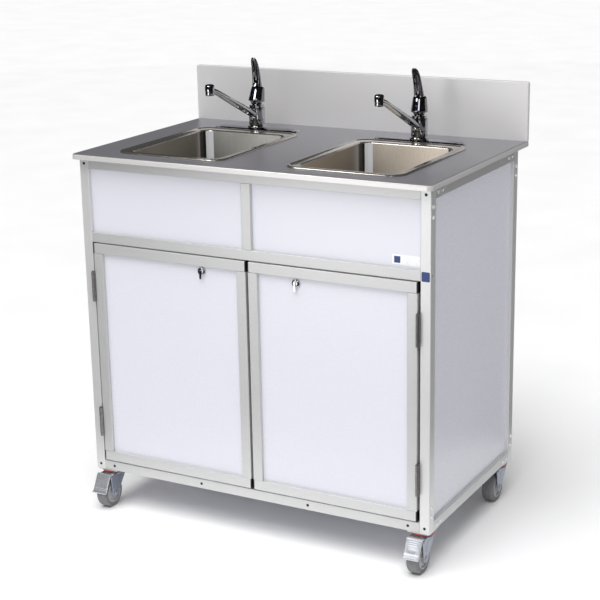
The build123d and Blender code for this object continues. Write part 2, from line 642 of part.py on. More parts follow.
for side, sign in SIDES:
    x = sign * SINK_X
    with BuildPart() as handle:
        # Side view of the spoon-shaped lever, hollow towards the front.
        with BuildSketch(Plane(origin=(x, FAUCET_Y, 0), x_dir=(0, 1, 0), z_dir=(1, 0, 0))):
            with BuildLine():
                ThreePointArc(*PADDLE_FRONT)
                ThreePointArc(*PADDLE_TIP)
                ThreePointArc(*PADDLE_BACK)
                Line(PADDLE_BACK[-1], PADDLE_FRONT[0])
            make_face()
        extrude(amount=PADDLE_ROOT_WIDTH, both=True)
        # Front view of the lever: it narrows upwards to a round end.
        with BuildSketch(Plane(origin=(x, FAUCET_Y, 0), x_dir=(1, 0, 0), z_dir=(0, -1, 0))):
            with Locations((0, PADDLE_TOP - PADDLE_TIP_R)):
                Circle(PADDLE_TIP_R)
            with Locations((0, PADDLE_ROOT_Z + PADDLE_FOOT / 2)):
                Rectangle(PADDLE_ROOT_WIDTH, PADDLE_FOOT)
            make_hull()
        extrude(amount=PADDLE_CUT_REACH, both=True, mode=Mode.INTERSECT)
        # The dome leans back a little, and is hollowed for the ball.
        with BuildPart(mode=Mode.PRIVATE) as dome:
            with BuildSketch(Plane.XY.offset(DOME_BOTTOM)):
                with Locations((x, FAUCET_Y)):
                    Circle(BODY_R)
            with BuildSketch(Plane.XY.offset(DOME_TOP)):
                with Locations((x, FAUCET_Y + DOME_LEAN)):
                    Circle(DOME_TOP_R)
            loft()
            fillet(dome.faces().sort_by(Axis.Z)[-1].edges(), radius=DOME_ROUND)
        add(dome.part)
        with Locations((x, FAUCET_Y, PIVOT_Z)):
            Sphere(BALL_R + SOCKET_GAP, mode=Mode.SUBTRACT)
    with BuildPart() as tilted_handle:
        add(handle.part.rotate(Axis((x, FAUCET_Y, PIVOT_Z), (1, 0, 0)), -LEVER_TILT_DEG[side]))
    write(tilted_handle, f"{side}_handle")

# ---------------------------------------------------------------- doors
DOOR_FRONT = FRONT - DOOR_PROUD
DOOR_MIDDLE_Y = DOOR_FRONT + HALF_TUBE
DOOR_MIDDLE_X = INNER_X - DOOR_OUTER_GAP - DOOR_WIDTH / 2
DOOR_MIDDLE_Z = DOOR_BOTTOM + DOOR_HEIGHT / 2
DOOR_RAIL_WIDTH = DOOR_WIDTH - 2 * CAP_THICK
STILE_HEIGHT = DOOR_HEIGHT - 2 * TUBE - 2 * JOINT_GAP
DOOR_PANEL_FRONT = DOOR_FRONT + PANEL_RECESS
BARREL_PLAY = 0.1

for side, sign in SIDES:
    middle_x = sign * DOOR_MIDDLE_X
    with BuildPart() as door_frame:
        with BuildSketch(Plane.YZ.offset(middle_x - DOOR_RAIL_WIDTH / 2)):
            with Locations((DOOR_MIDDLE_Y, DOOR_MIDDLE_Z)):
                with GridLocations(0, DOOR_HEIGHT - TUBE, 1, 2):
                    RectangleRounded(TUBE, TUBE, TUBE_CORNER)
                    Rectangle(TUBE_BORE, TUBE_BORE, mode=Mode.SUBTRACT)
        extrude(amount=DOOR_RAIL_WIDTH)
        with BuildSketch(Plane.XY.offset(DOOR_BOTTOM + TUBE + JOINT_GAP)):
            with Locations((middle_x, DOOR_MIDDLE_Y)):
                with GridLocations(DOOR_WIDTH - TUBE, 0, 2, 1):
                    RectangleRounded(TUBE, TUBE, TUBE_CORNER)
                    Rectangle(TUBE_BORE, TUBE_BORE, mode=Mode.SUBTRACT)
        extrude(amount=STILE_HEIGHT)
    write(door_frame, f"{side}_door_frame")

    with BuildPart() as door_caps:
        for x_sign in (-1, 1):
            with BuildSketch(Plane.YZ.offset(middle_x + x_sign * DOOR_RAIL_WIDTH / 2)):
                with Locations((DOOR_MIDDLE_Y, DOOR_MIDDLE_Z)):
                    with GridLocations(0, DOOR_HEIGHT - TUBE, 1, 2):
                        RectangleRounded(TUBE, TUBE, TUBE_CORNER)
            extrude(amount=x_sign * CAP_THICK)
    write(door_caps, f"{side}_door_caps")

    with BuildPart() as door_panel:
        with BuildSketch(Plane.XZ.offset(-DOOR_PANEL_FRONT)):
            with Locations((middle_x, DOOR_MIDDLE_Z)):
                Rectangle(DOOR_WIDTH - 2 * TUBE, DOOR_HEIGHT - 2 * TUBE)
            with Locations((sign * LOCK_X, LOCK_Z)):
                Circle(LOCK_BARREL_R + BARREL_PLAY, mode=Mode.SUBTRACT)
        extrude(amount=-PANEL_THICK)
    write(door_panel, f"{side}_door_panel")

# ---------------------------------------------------------------- hinges
HINGE_X = INNER_X - DOOR_OUTER_GAP / 2
HINGE_Y = FRONT - HINGE_PROUD
KNUCKLE_LENGTH = HINGE_LENGTH / HINGE_KNUCKLES
LEAF_SHOULDER = 0.5
LEAF_START_Y = HINGE_Y + KNUCKLE_R + LEAF_SHOULDER
PIN_HEAD_R = 3.4
PIN_HEAD_THICK = 1.5


def knuckle_bottoms(first):
    """Bottoms of every second knuckle of both hinges, from knuckle number first."""
    return [
        centre_z - HINGE_LENGTH / 2 + number * KNUCKLE_LENGTH + KNUCKLE_GAP / 2
        for centre_z in HINGE_CENTRES_Z
        for number in range(first, HINGE_KNUCKLES, 2)
    ]


for side, sign in SIDES:
    axis_x = sign * HINGE_X
    leaf_x = axis_x - sign * (DOOR_OUTER_GAP / 2 - LEAF_THICK / 2)
    with BuildPart() as hinge_leaves:
        for centre_z in HINGE_CENTRES_Z:
            with BuildSketch(Plane.XY.offset(centre_z - HINGE_LENGTH / 2)):
                with Locations((leaf_x, LEAF_START_Y + LEAF_DEPTH / 2)):
                    Rectangle(LEAF_THICK, LEAF_DEPTH)
            extrude(amount=HINGE_LENGTH)
        for bottom in knuckle_bottoms(1):
            with BuildSketch(Plane.XY.offset(bottom)):
                with Locations((axis_x, HINGE_Y)):
                    Circle(KNUCKLE_R)
                with Locations((leaf_x, (HINGE_Y + LEAF_START_Y) / 2)):
                    Rectangle(LEAF_THICK, LEAF_START_Y - HINGE_Y)
                with Locations((axis_x, HINGE_Y)):
                    Circle(PIN_R + RUNNING_GAP, mode=Mode.SUBTRACT)
            extrude(amount=KNUCKLE_LENGTH - KNUCKLE_GAP)
    write(hinge_leaves, f"{side}_hinge_leaves")

with BuildPart() as post_hinge_leaves:
    for side, sign in SIDES:
        axis_x = sign * HINGE_X
        leaf_x = axis_x + sign * (DOOR_OUTER_GAP / 2 - LEAF_THICK / 2)
        for centre_z in HINGE_CENTRES_Z:
            with BuildSketch(Plane.XY.offset(centre_z - HINGE_LENGTH / 2)):
                with Locations((leaf_x, LEAF_START_Y + LEAF_DEPTH / 2)):
                    Rectangle(LEAF_THICK, LEAF_DEPTH)
            extrude(amount=HINGE_LENGTH)
        for bottom in knuckle_bottoms(0):
            with BuildSketch(Plane.XY.offset(bottom)):
                with Locations((axis_x, HINGE_Y)):
                    Circle(KNUCKLE_R)
                with Locations((leaf_x, (HINGE_Y + LEAF_START_Y) / 2)):
                    Rectangle(LEAF_THICK, LEAF_START_Y - HINGE_Y)
                with Locations((axis_x, HINGE_Y)):
                    Circle(PIN_R + RUNNING_GAP, mode=Mode.SUBTRACT)
            extrude(amount=KNUCKLE_LENGTH - KNUCKLE_GAP)
        # The pins, each with a flat head that rests on the top knuckle.
        for centre_z in HINGE_CENTRES_Z:
            with BuildSketch(Plane.XY.offset(centre_z - HINGE_LENGTH / 2)):
                with Locations((axis_x, HINGE_Y)):
                    Circle(PIN_R)
            extrude(amount=HINGE_LENGTH + JOINT_GAP)
            with BuildSketch(Plane.XY.offset(centre_z + HINGE_LENGTH / 2 + JOINT_GAP)):
                with Locations((axis_x, HINGE_Y)):
                    Circle(PIN_HEAD_R)
            extrude(amount=PIN_HEAD_THICK)
write(post_hinge_leaves, "post_hinge_leaves")

# ---------------------------------------------------------------- cam locks
BEZEL_HEIGHT = 6.0
BEZEL_FRONT = DOOR_PANEL_FRONT - BEZEL_HEIGHT
BEZEL_ROUND = 2.5
BARREL_BACK = FRONT + TUBE - 2.0
PLUG_PROUD = 1.2
LOCK_NUT_R = 12.0
LOCK_NUT_THICK = 5.0
CAM_FRONT = FRONT + TUBE + CAM_GAP
PLUG_FRONT = BEZEL_FRONT - PLUG_PROUD
TAB_WIDTH = 6.0
TAB_THICK = 1.8
TAB_TOP = 4.0
TAB_LENGTH = 22.0

for side, sign in SIDES:
    place = (sign * LOCK_X, LOCK_Z)
    with BuildPart() as lock_housing:
        with BuildSketch(Plane.XZ.offset(-BEZEL_FRONT)):
            with Locations(place):
                Circle(LOCK_BEZEL_R)
        extrude(amount=BEZEL_FRONT - DOOR_PANEL_FRONT)
        fillet(lock_housing.faces().sort_by(Axis.Y)[0].edges(), radius=BEZEL_ROUND)
        with BuildSketch(Plane.XZ.offset(-DOOR_PANEL_FRONT)):
            with Locations(place):
                Circle(LOCK_BARREL_R)
        extrude(amount=DOOR_PANEL_FRONT - BARREL_BACK)
        with BuildSketch(Plane.XZ.offset(-BEZEL_FRONT)):
            with Locations(place):
                Circle(LOCK_PLUG_R + RUNNING_GAP)
        extrude(amount=BEZEL_FRONT - BARREL_BACK, mode=Mode.SUBTRACT)
        nut_front = DOOR_PANEL_FRONT + PANEL_THICK + BARREL_PLAY
        with BuildSketch(Plane.XZ.offset(-nut_front)):
            with Locations(place):
                RegularPolygon(LOCK_NUT_R, 6)
                Circle(LOCK_BARREL_R + BARREL_PLAY, mode=Mode.SUBTRACT)
        extrude(amount=-LOCK_NUT_THICK)
    write(lock_housing, f"{side}_lock_housing")

    with BuildPart() as lock_plug:
        with BuildSketch(Plane.XZ.offset(-PLUG_FRONT)):
            with Locations(place):
                Circle(LOCK_PLUG_R)
        extrude(amount=PLUG_FRONT - CAM_FRONT)
        # The cam points sideways when the door is free to open.
        with BuildSketch(Plane.XZ.offset(-CAM_FRONT)):
            with Locations((place[0] + sign * (CAM_LENGTH - CAM_WIDTH) / 2, LOCK_Z)):
                SlotOverall(CAM_LENGTH, CAM_WIDTH)
        extrude(amount=-CAM_THICK)
        with BuildSketch(Plane.XZ.offset(-PLUG_FRONT)):
            with Locations((place[0], LOCK_Z + TAB_TOP - TAB_LENGTH / 2)):
                SlotOverall(TAB_LENGTH, TAB_WIDTH, rotation=90)
        extrude(amount=TAB_THICK)
    write(lock_plug, f"{side}_lock_plug")

# ---------------------------------------------------------------- casters
CASTER_X = RIGHT - CASTER_INSET
CASTER_Y = {"front": FRONT + CASTER_INSET, "rear": BACK - CASTER_INSET}
PLATE_THICK = 3.0
PLATE_BOTTOM = CASTER_HEIGHT - PLATE_THICK
RACE_R = 22.0
RACE_BOTTOM = 91.5
RING_R = 28.5
RING_BOTTOM = 91.0
CROWN_R = 26.0
CROWN_TOP = 90.7
CROWN_BOTTOM = 84.5
KING_PIN_R = 6.0
KING_HEAD_R = 9.0
KING_BOTTOM = 79.0
PLATE_CORNER = 6.0
RING_ROUND = 1.2
caster_places = [
    (f"{end}_{side}", sign * CASTER_X, CASTER_Y[end]) for end in ("front", "rear") for side, sign in SIDES
]
swivel_centres = [(x, y) for name, x, y in caster_places]

with BuildPart() as caster_plates:
    with BuildSketch(Plane.XY.offset(PLATE_BOTTOM)):
        with Locations(*swivel_centres):
            RectangleRounded(CASTER_PLATE, CASTER_PLATE, PLATE_CORNER)
    extrude(amount=PLATE_THICK)
    for radius, bottom, top in (
        (RACE_R, RACE_BOTTOM, PLATE_BOTTOM),
        (KING_PIN_R, KING_BOTTOM, RACE_BOTTOM),
        (KING_HEAD_R, KING_BOTTOM, CROWN_BOTTOM - SPLIT),
    ):
        with BuildSketch(Plane.XY.offset(bottom)):
            with Locations(*swivel_centres):
                Circle(radius)
        extrude(amount=top - bottom)
write(caster_plates, "caster_plates")

with BuildPart() as dust_rings:
    with BuildSketch(Plane.XY.offset(RING_BOTTOM)):
        with Locations(*swivel_centres):
            Circle(RING_R)
            Circle(RACE_R + RUNNING_GAP, mode=Mode.SUBTRACT)
    extrude(amount=PLATE_BOTTOM - RING_BOTTOM)
    fillet(dust_rings.edges().filter_by(GeomType.CIRCLE).group_by(SortBy.RADIUS)[-1], radius=RING_ROUND)
write(dust_rings, "dust_rings")

LEG_TOP_HALF = 22.0
LEG_TOP_BAND = 2.0
LEG_END_R = 11.0
PEDAL_EAR_R = 4.0
PEDAL_PIN_R = 2.0
PEDAL_PIN_FORWARD = 39.0
PEDAL_PIN_Z = 84.0
AXLE_HEAD_R = 6.5
AXLE_HEAD_THICK = 2.0
PEDAL_PIN_HEAD_R = 2.8
FORK_OUTSIDE = FORK_LEG_INSIDE + FORK_LEG_THICK

for name, x, y in caster_places:
    axle_y = y - CASTER_TRAIL
    pin_y = y - PEDAL_PIN_FORWARD
    with BuildPart() as fork:
        for x_sign in (-1, 1):
            with BuildSketch(Plane.YZ.offset(x + x_sign * FORK_LEG_INSIDE)):
                with Locations((axle_y, WHEEL_R)):
                    Circle(LEG_END_R)
                with Locations((pin_y, PEDAL_PIN_Z)):
                    Circle(PEDAL_EAR_R)
                with Locations((y, CROWN_BOTTOM + LEG_TOP_BAND / 2)):
                    Rectangle(2 * LEG_TOP_HALF, LEG_TOP_BAND)
                make_hull()
                with Locations((axle_y, WHEEL_R)):
                    Circle(AXLE_R + RUNNING_GAP, mode=Mode.SUBTRACT)
                with Locations((pin_y, PEDAL_PIN_Z)):
                    Circle(PEDAL_PIN_R + RUNNING_GAP, mode=Mode.SUBTRACT)
            extrude(amount=x_sign * FORK_LEG_THICK)
        with BuildSketch(Plane.XY.offset(CROWN_BOTTOM)):
            with Locations((x, y)):
                Circle(CROWN_R)
        extrude(amount=CROWN_TOP - CROWN_BOTTOM)
        with BuildSketch(Plane.XY.offset(CROWN_BOTTOM)):
            with Locations((x, y)):
                Rectangle(2 * FORK_OUTSIDE, 2 * LEG_TOP_HALF)
        extrude(amount=FORK_LEG_THICK)
        with BuildSketch(Plane.XY.offset(CROWN_BOTTOM)):
            with Locations((x, y)):
                Circle(KING_PIN_R + RUNNING_GAP)
        extrude(amount=CROWN_TOP - CROWN_BOTTOM, mode=Mode.SUBTRACT)
        # The axle bolt and, on every fork, the cross pin at the ears.
        with BuildSketch(Plane.YZ.offset(x - FORK_OUTSIDE - JOINT_GAP)):
            with Locations((axle_y, WHEEL_R)):
                Circle(AXLE_R)
            with Locations((pin_y, PEDAL_PIN_Z)):
                Circle(PEDAL_PIN_R)
        extrude(amount=2 * (FORK_OUTSIDE + JOINT_GAP))
        for x_sign in (-1, 1):
            with BuildSketch(Plane.YZ.offset(x + x_sign * (FORK_OUTSIDE + JOINT_GAP))):
                with Locations((axle_y, WHEEL_R)):
                    RegularPolygon(AXLE_HEAD_R, 6)
                with Locations((pin_y, PEDAL_PIN_Z)):
                    Circle(PEDAL_PIN_HEAD_R)
            extrude(amount=x_sign * AXLE_HEAD_THICK)
    write(fork, f"{name}_fork")

TYRE_ROUND = 5.0
HUB_RECESS = 4.0
HUB_BOSS_R = 9.0
HUB_RIM_R = 23.0
HUB_GAP = 0.1

for name, x, y in caster_places:
    axle_y = y - CASTER_TRAIL
    with BuildPart() as wheel:
        with BuildSketch(Plane.YZ.offset(x - TYRE_WIDTH / 2)):
            with Locations((axle_y, WHEEL_R)):
                Circle(WHEEL_R)
        extrude(amount=TYRE_WIDTH)
        fillet(wheel.edges().filter_by(GeomType.CIRCLE), radius=TYRE_ROUND)
        with BuildSketch(Plane.YZ.offset(x - TYRE_WIDTH / 2)):
            with Locations((axle_y, WHEEL_R)):
                Circle(HUB_R + HUB_GAP)
        extrude(amount=TYRE_WIDTH, mode=Mode.SUBTRACT)
        with BuildSketch(Plane.YZ.offset(x - TYRE_WIDTH / 2)):
            with Locations((axle_y, WHEEL_R)):
                Circle(HUB_R)
        extrude(amount=TYRE_WIDTH)
        for x_sign in (-1, 1):
            with BuildSketch(Plane.YZ.offset(x + x_sign * TYRE_WIDTH / 2)):
                with Locations((axle_y, WHEEL_R)):
                    Circle(HUB_RIM_R)
            extrude(amount=-x_sign * HUB_RECESS, mode=Mode.SUBTRACT)
        with BuildSketch(Plane.YZ.offset(x - HUB_WIDTH / 2)):
            with Locations((axle_y, WHEEL_R)):
                Circle(HUB_BOSS_R)
        extrude(amount=HUB_WIDTH)
        with BuildSketch(Plane.YZ.offset(x - HUB_WIDTH / 2)):
            with Locations((axle_y, WHEEL_R)):
                Circle(AXLE_R + RUNNING_GAP)
        extrude(amount=HUB_WIDTH, mode=Mode.SUBTRACT)
    write(wheel, f"{name}_wheel")

# ---------------------------------------------------------------- brake pedals
PEDAL_BARREL_R = 3.5
PEDAL_THICK = 2.0
PEDAL_TIP_Y = -SPLASH_BACK
PEDAL_BEND = 2.5
PEDAL_NECK = 4.0
BARREL_END_GAP = 0.5
# The plate's centre line after its pin, as (distance forward of the pin, z).
PEDAL_KNEE = (5.0, PEDAL_PIN_Z + PEDAL_BARREL_R + PEDAL_THICK)
PEDAL_HEEL = (28.5, 50.5)
PEDAL_LIP_Z = 49.0

for side, sign in SIDES:
    x = sign * CASTER_X
    pin_y = CASTER_Y["front"] - PEDAL_PIN_FORWARD
    pedal_path = [
        (pin_y, PEDAL_KNEE[1]),
        (pin_y - PEDAL_KNEE[0], PEDAL_KNEE[1]),
        (pin_y - PEDAL_HEEL[0], PEDAL_HEEL[1]),
        (PEDAL_TIP_Y, PEDAL_LIP_Z),
    ]
    with BuildPart() as pedal:
        with BuildSketch(Plane.YZ.offset(x)):
            with BuildLine():
                FilletPolyline(*pedal_path, radius=PEDAL_BEND)
            trace(line_width=PEDAL_THICK)
        extrude(amount=PEDAL_WIDTH / 2, both=True)
        with BuildSketch(Plane.YZ.offset(x)):
            with Locations((pin_y, PEDAL_PIN_Z)):
                Circle(PEDAL_BARREL_R)
            with Locations((pin_y, PEDAL_PIN_Z + PEDAL_BARREL_R)):
                Rectangle(PEDAL_NECK, PEDAL_NECK)
        extrude(amount=FORK_LEG_INSIDE - BARREL_END_GAP, both=True)
        with BuildSketch(Plane.YZ.offset(x)):
            with Locations((pin_y, PEDAL_PIN_Z)):
                Circle(PEDAL_PIN_R + RUNNING_GAP)
        extrude(amount=PEDAL_WIDTH / 2, both=True, mode=Mode.SUBTRACT)
    write(pedal, f"{side}_brake_pedal")

# ---------------------------------------------------------------- tanks
TANK_ROUND = 22.0
SHOULDER_ROUND = 17.6
TANK_BASE_ROUND = 8.8
NECK_OUTER_R = 30.0
NECK_INNER_R = 27.0
TANK_NECK_HEIGHT = 22.0
ROOT = 1.0
CAP_R = 34.0
CAP_HEIGHT = 20.0
CAP_PROUD = 4.0
CAP_ROOF = 3.5
CAP_ROUND = 2.5
tanks = {
    "fresh": {"centre": (-275.0, -70.0), "size": (270.0, 260.0, 360.0), "neck": (-340.0, -120.0)},
    "waste": {"centre": (265.0, -60.0), "size": (290.0, 290.0, 400.0), "neck": (340.0, -120.0)},
}
WASTE_INLETS = ((170.0, SINK_Y), (235.0, SINK_Y))
WASTE_SPIGOT_R = 16.0
WASTE_SPIGOT_HEIGHT = 20.0
FRESH_OUTLET = (-140.0, -100.0, 158.0)
BARB_R = 5.0
BARB_LENGTH = 14.0

for tank_name, tank in tanks.items():
    width, length, height = tank["size"]
    tank_top = FLOOR_TOP + height
    with BuildPart() as jug:
        with BuildSketch(Plane.XY.offset(FLOOR_TOP)):
            with Locations(tank["centre"]):
                RectangleRounded(width, length, TANK_ROUND)
        extrude(amount=height)
        fillet(jug.faces().sort_by(Axis.Z)[-1].edges(), radius=SHOULDER_ROUND)
        fillet(jug.faces().sort_by(Axis.Z)[0].edges(), radius=TANK_BASE_ROUND)
        with BuildSketch(Plane.XY.offset(tank_top - ROOT)):
            with Locations(tank["neck"]):
                Circle(NECK_OUTER_R)
        extrude(amount=TANK_NECK_HEIGHT + ROOT)
        with BuildSketch(Plane.XY.offset(tank_top + TANK_NECK_HEIGHT)):
            with Locations(tank["neck"]):
                Circle(NECK_INNER_R)
        extrude(amount=-TANK_NECK_HEIGHT - TANK_ROUND, mode=Mode.SUBTRACT)
        if tank_name == "waste":
            with BuildSketch(Plane.XY.offset(tank_top - ROOT)):
                with Locations(*WASTE_INLETS):
                    Circle(WASTE_SPIGOT_R)
            extrude(amount=WASTE_SPIGOT_HEIGHT + ROOT)
        if tank_name == "fresh":
            with BuildSketch(Plane.YZ.offset(FRESH_OUTLET[0] - ROOT)):
                with Locations(FRESH_OUTLET[1:]):
                    Circle(BARB_R)
            extrude(amount=BARB_LENGTH + ROOT)
    write(jug, f"{tank_name}_tank")

    cap_bottom = tank_top + TANK_NECK_HEIGHT - CAP_HEIGHT + CAP_PROUD
    with BuildPart() as cap:
        with BuildSketch(Plane.XY.offset(cap_bottom)):
            with Locations(tank["neck"]):
                Circle(CAP_R)
        extrude(amount=CAP_HEIGHT)
        fillet(cap.faces().sort_by(Axis.Z)[-1].edges(), radius=CAP_ROUND)
        with BuildSketch(Plane.XY.offset(cap_bottom)):
            with Locations(tank["neck"]):
                Circle(NECK_OUTER_R + RUNNING_GAP)
        extrude(amount=CAP_HEIGHT - CAP_ROOF, mode=Mode.SUBTRACT)
    write(cap, f"{tank_name}_cap")

# ---------------------------------------------------------------- heater and pump
HEATER_CENTRE = (-15.0, 130.0)
HEATER_SIZE = (200.0, 180.0, 330.0)
HEATER_TOP = FLOOR_TOP + HEATER_SIZE[2]
HEATER_PORTS = ((-60.0, 150.0), (30.0, 150.0))
HEATER_INLET = (55.0, 158.0)
HEATER_CORNER = 18.0
HEATER_EDGE = 12.0
HEATER_WALL = 1.5
PORT_R = 7.0
PORT_LENGTH = 16.0

with BuildPart() as heater_inside:
    with BuildSketch(Plane.XY.offset(FLOOR_TOP + HEATER_WALL)):
        with Locations(HEATER_CENTRE):
            RectangleRounded(
                HEATER_SIZE[0] - 2 * HEATER_WALL,
                HEATER_SIZE[1] - 2 * HEATER_WALL,
                HEATER_CORNER - HEATER_WALL,
            )
    extrude(amount=HEATER_SIZE[2] - 2 * HEATER_WALL)
    fillet(heater_inside.faces().sort_by(Axis.Z)[-1].edges(), radius=HEATER_EDGE - HEATER_WALL)

with BuildPart() as water_heater:
    with BuildSketch(Plane.XY.offset(FLOOR_TOP)):
        with Locations(HEATER_CENTRE):
            RectangleRounded(HEATER_SIZE[0], HEATER_SIZE[1], HEATER_CORNER)
    extrude(amount=HEATER_SIZE[2])
    fillet(water_heater.faces().sort_by(Axis.Z)[-1].edges(), radius=HEATER_EDGE)
    with BuildSketch(Plane.XY.offset(HEATER_TOP - ROOT)):
        with Locations(*HEATER_PORTS):
            Circle(PORT_R)
    extrude(amount=PORT_LENGTH + ROOT)
    heater_front = HEATER_CENTRE[1] - HEATER_SIZE[1] / 2
    with BuildSketch(Plane.XZ.offset(-heater_front)):
        with Locations(HEATER_INLET):
            Circle(PORT_R)
    extrude(amount=PORT_LENGTH)
    add(heater_inside.part, mode=Mode.SUBTRACT)
write(water_heater, "water_heater")

PUMP_X = -15.0
PUMP_AXIS_Z = 158.0
PUMP_FRONT = -150.0
PUMP_HEAD_SIZE = (70.0, 36.0, 76.0)
PUMP_MOTOR_R = 26.0
PUMP_MOTOR_LENGTH = 74.0
PUMP_FOOT = (90.0, 120.0, 6.0)
PUMP_CORNER = 8.0
PUMP_SADDLE = (30.0, 50.0)
PUMP_SADDLE_BACK = 40.0
PUMP_INLET_Y = FRESH_OUTLET[1] - 32.0

with BuildPart() as pump:
    with BuildSketch(Plane.XY.offset(FLOOR_TOP)):
        with Locations((PUMP_X, PUMP_FRONT + PUMP_FOOT[1] / 2)):
            RectangleRounded(PUMP_FOOT[0], PUMP_FOOT[1], PUMP_CORNER)
    extrude(amount=PUMP_FOOT[2])
    with BuildSketch(Plane.XZ.offset(-PUMP_FRONT)):
        with Locations((PUMP_X, PUMP_AXIS_Z)):
            RectangleRounded(PUMP_HEAD_SIZE[0], PUMP_HEAD_SIZE[2], PUMP_CORNER)
    extrude(amount=-PUMP_HEAD_SIZE[1])
    with BuildSketch(Plane.XZ.offset(-PUMP_FRONT - PUMP_HEAD_SIZE[1] + ROOT)):
        with Locations((PUMP_X, PUMP_AXIS_Z)):
            Circle(PUMP_MOTOR_R)
    extrude(amount=-PUMP_MOTOR_LENGTH)
    with BuildSketch(Plane.XY.offset(FLOOR_TOP)):
        with Locations((PUMP_X, PUMP_FRONT + PUMP_HEAD_SIZE[1] + PUMP_SADDLE_BACK)):
            Rectangle(*PUMP_SADDLE)
    extrude(amount=PUMP_AXIS_Z - FLOOR_TOP - PUMP_MOTOR_R / 2)
    with BuildSketch(Plane.YZ.offset(PUMP_X)):
        with Locations((PUMP_INLET_Y, PUMP_AXIS_Z)):
            Circle(BARB_R)
    extrude(amount=PUMP_HEAD_SIZE[0] / 2 + BARB_LENGTH, both=True)
write(pump, "pump")

# ---------------------------------------------------------------- hoses
SUPPLY_R = 6.0
DRAIN_HOSE_R = 11.0
HOSE_GAP = 0.3
BEND_SHARE = 0.45


def bend_radii(points):
    """The largest arc each corner of a hose's route has room for."""
    radii = []
    for before, corner, after in zip(points, points[1:], points[2:]):
        run_in = Vector(*corner) - Vector(*before)
        run_out = Vector(*after) - Vector(*corner)
        turn = math.radians(run_in.get_angle(run_out))
        radii.append(BEND_SHARE * min(run_in.length, run_out.length) / math.tan(turn / 2))
    return radii


# Each route lists the points a hose runs between, from its first fitting to its last.
heater_port_top = HEATER_TOP + PORT_LENGTH + HOSE_GAP
pump_barb_x = PUMP_HEAD_SIZE[0] / 2 + BARB_LENGTH + HOSE_GAP
fresh_barb_x = FRESH_OUTLET[0] + BARB_LENGTH + HOSE_GAP
pump_left = PUMP_X - pump_barb_x
pump_right = PUMP_X + pump_barb_x
supply_routes = [
    [
        (fresh_barb_x, FRESH_OUTLET[1], FRESH_OUTLET[2]),
        (fresh_barb_x + 18, FRESH_OUTLET[1], FRESH_OUTLET[2]),
        (pump_left - 18, PUMP_INLET_Y, PUMP_AXIS_Z),
        (pump_left, PUMP_INLET_Y, PUMP_AXIS_Z),
    ],
    [
        (pump_right, PUMP_INLET_Y, PUMP_AXIS_Z),
        (pump_right + 18, PUMP_INLET_Y, PUMP_AXIS_Z),
        (pump_right + 33, PUMP_INLET_Y + 22, PUMP_AXIS_Z),
        (pump_right + 30, PUMP_INLET_Y + 75, PUMP_AXIS_Z),
        (HEATER_INLET[0], PUMP_INLET_Y + 120, PUMP_AXIS_Z),
        (HEATER_INLET[0], heater_front - PORT_LENGTH - HOSE_GAP, HEATER_INLET[1]),
    ],
]
for (port_x, port_y), side_x, lean in zip(HEATER_PORTS, (-SINK_X, SINK_X), (-1, 1)):
    supply_routes.append(
        [
            (port_x, port_y, heater_port_top),
            (port_x, port_y, heater_port_top + 80),
            (port_x + lean * 42, port_y + 20, heater_port_top + 180),
            (side_x - lean * 48, FAUCET_Y - 4, heater_port_top + 255),
            (side_x, FAUCET_Y, heater_port_top + 325),
            (side_x, FAUCET_Y, SHANK_BOTTOM - HOSE_GAP),
        ]
    )
waste_inlet_top = FLOOR_TOP + tanks["waste"]["size"][2] + WASTE_SPIGOT_HEIGHT + HOSE_GAP
tailpiece_end = TAILPIECE_BOTTOM - HOSE_GAP
near_inlet, far_inlet = WASTE_INLETS
drain_routes = [
    [
        (-SINK_X, SINK_Y, tailpiece_end),
        (-SINK_X, SINK_Y, tailpiece_end - 44),
        (-SINK_X + 22, SINK_Y - 2, tailpiece_end - 78),
        (-SINK_X + 65, SINK_Y - 4, tailpiece_end - 97),
        (-60.0, SINK_Y - 8, tailpiece_end - 104),
        (50.0, SINK_Y - 5, tailpiece_end - 108),
        (near_inlet[0] - 52, SINK_Y - 1, tailpiece_end - 114),
        (near_inlet[0] - 16, SINK_Y, tailpiece_end - 127),
        (near_inlet[0], SINK_Y, tailpiece_end - 150),
        (near_inlet[0], SINK_Y, waste_inlet_top),
    ],
    [
        (SINK_X, SINK_Y, tailpiece_end),
        (SINK_X, SINK_Y, tailpiece_end - 55),
        (far_inlet[0], SINK_Y, tailpiece_end - 112),
        (far_inlet[0], SINK_Y, waste_inlet_top),
    ],
]

for node_name, routes, radius in (
    ("supply_hoses", supply_routes, SUPPLY_R),
    ("drain_hoses", drain_routes, DRAIN_HOSE_R),
):
    with BuildPart() as hoses:
        for route in routes:
            with BuildLine() as hose_path:
                FilletPolyline(*route, radius=bend_radii(route))
            centre_line = hose_path.wire()
            with BuildSketch(Plane(origin=centre_line @ 0, z_dir=centre_line % 0)):
                Circle(radius)
            sweep(path=centre_line)
    write(hoses, node_name)

# ---------------------------------------------------------------- power inlet and rocker switch
INLET_FLANGE = (50.0, 28.0, 3.0)
INLET_BODY_DEPTH = 24.0
SOCKET_SIZE = (23.0, 15.6)
SOCKET_CAVITY = 17.0
SWITCH_FLANGE = (26.0, 19.0, 2.0)
SWITCH_BODY_DEPTH = 16.0
FLANGE_CORNER = 4.0
SOCKET_CORNER = 2.0
BODY_PLAY = 0.4
ROCKER_PLAY = (2.6, 0.8)
ROCKER_SIZE = (12.0, 9.6)
ROCKER_PIVOT_Y = REAR_PANEL_BACK - 3.0
ROCKER_BACK = 2.0
ROCKER_HIGH = 8.0
ROCKER_MIDDLE = 6.5
ROCKER_LOW = 5.0
OUTSIDE = INLET_FLANGE[2] + REAR_PANEL_BACK

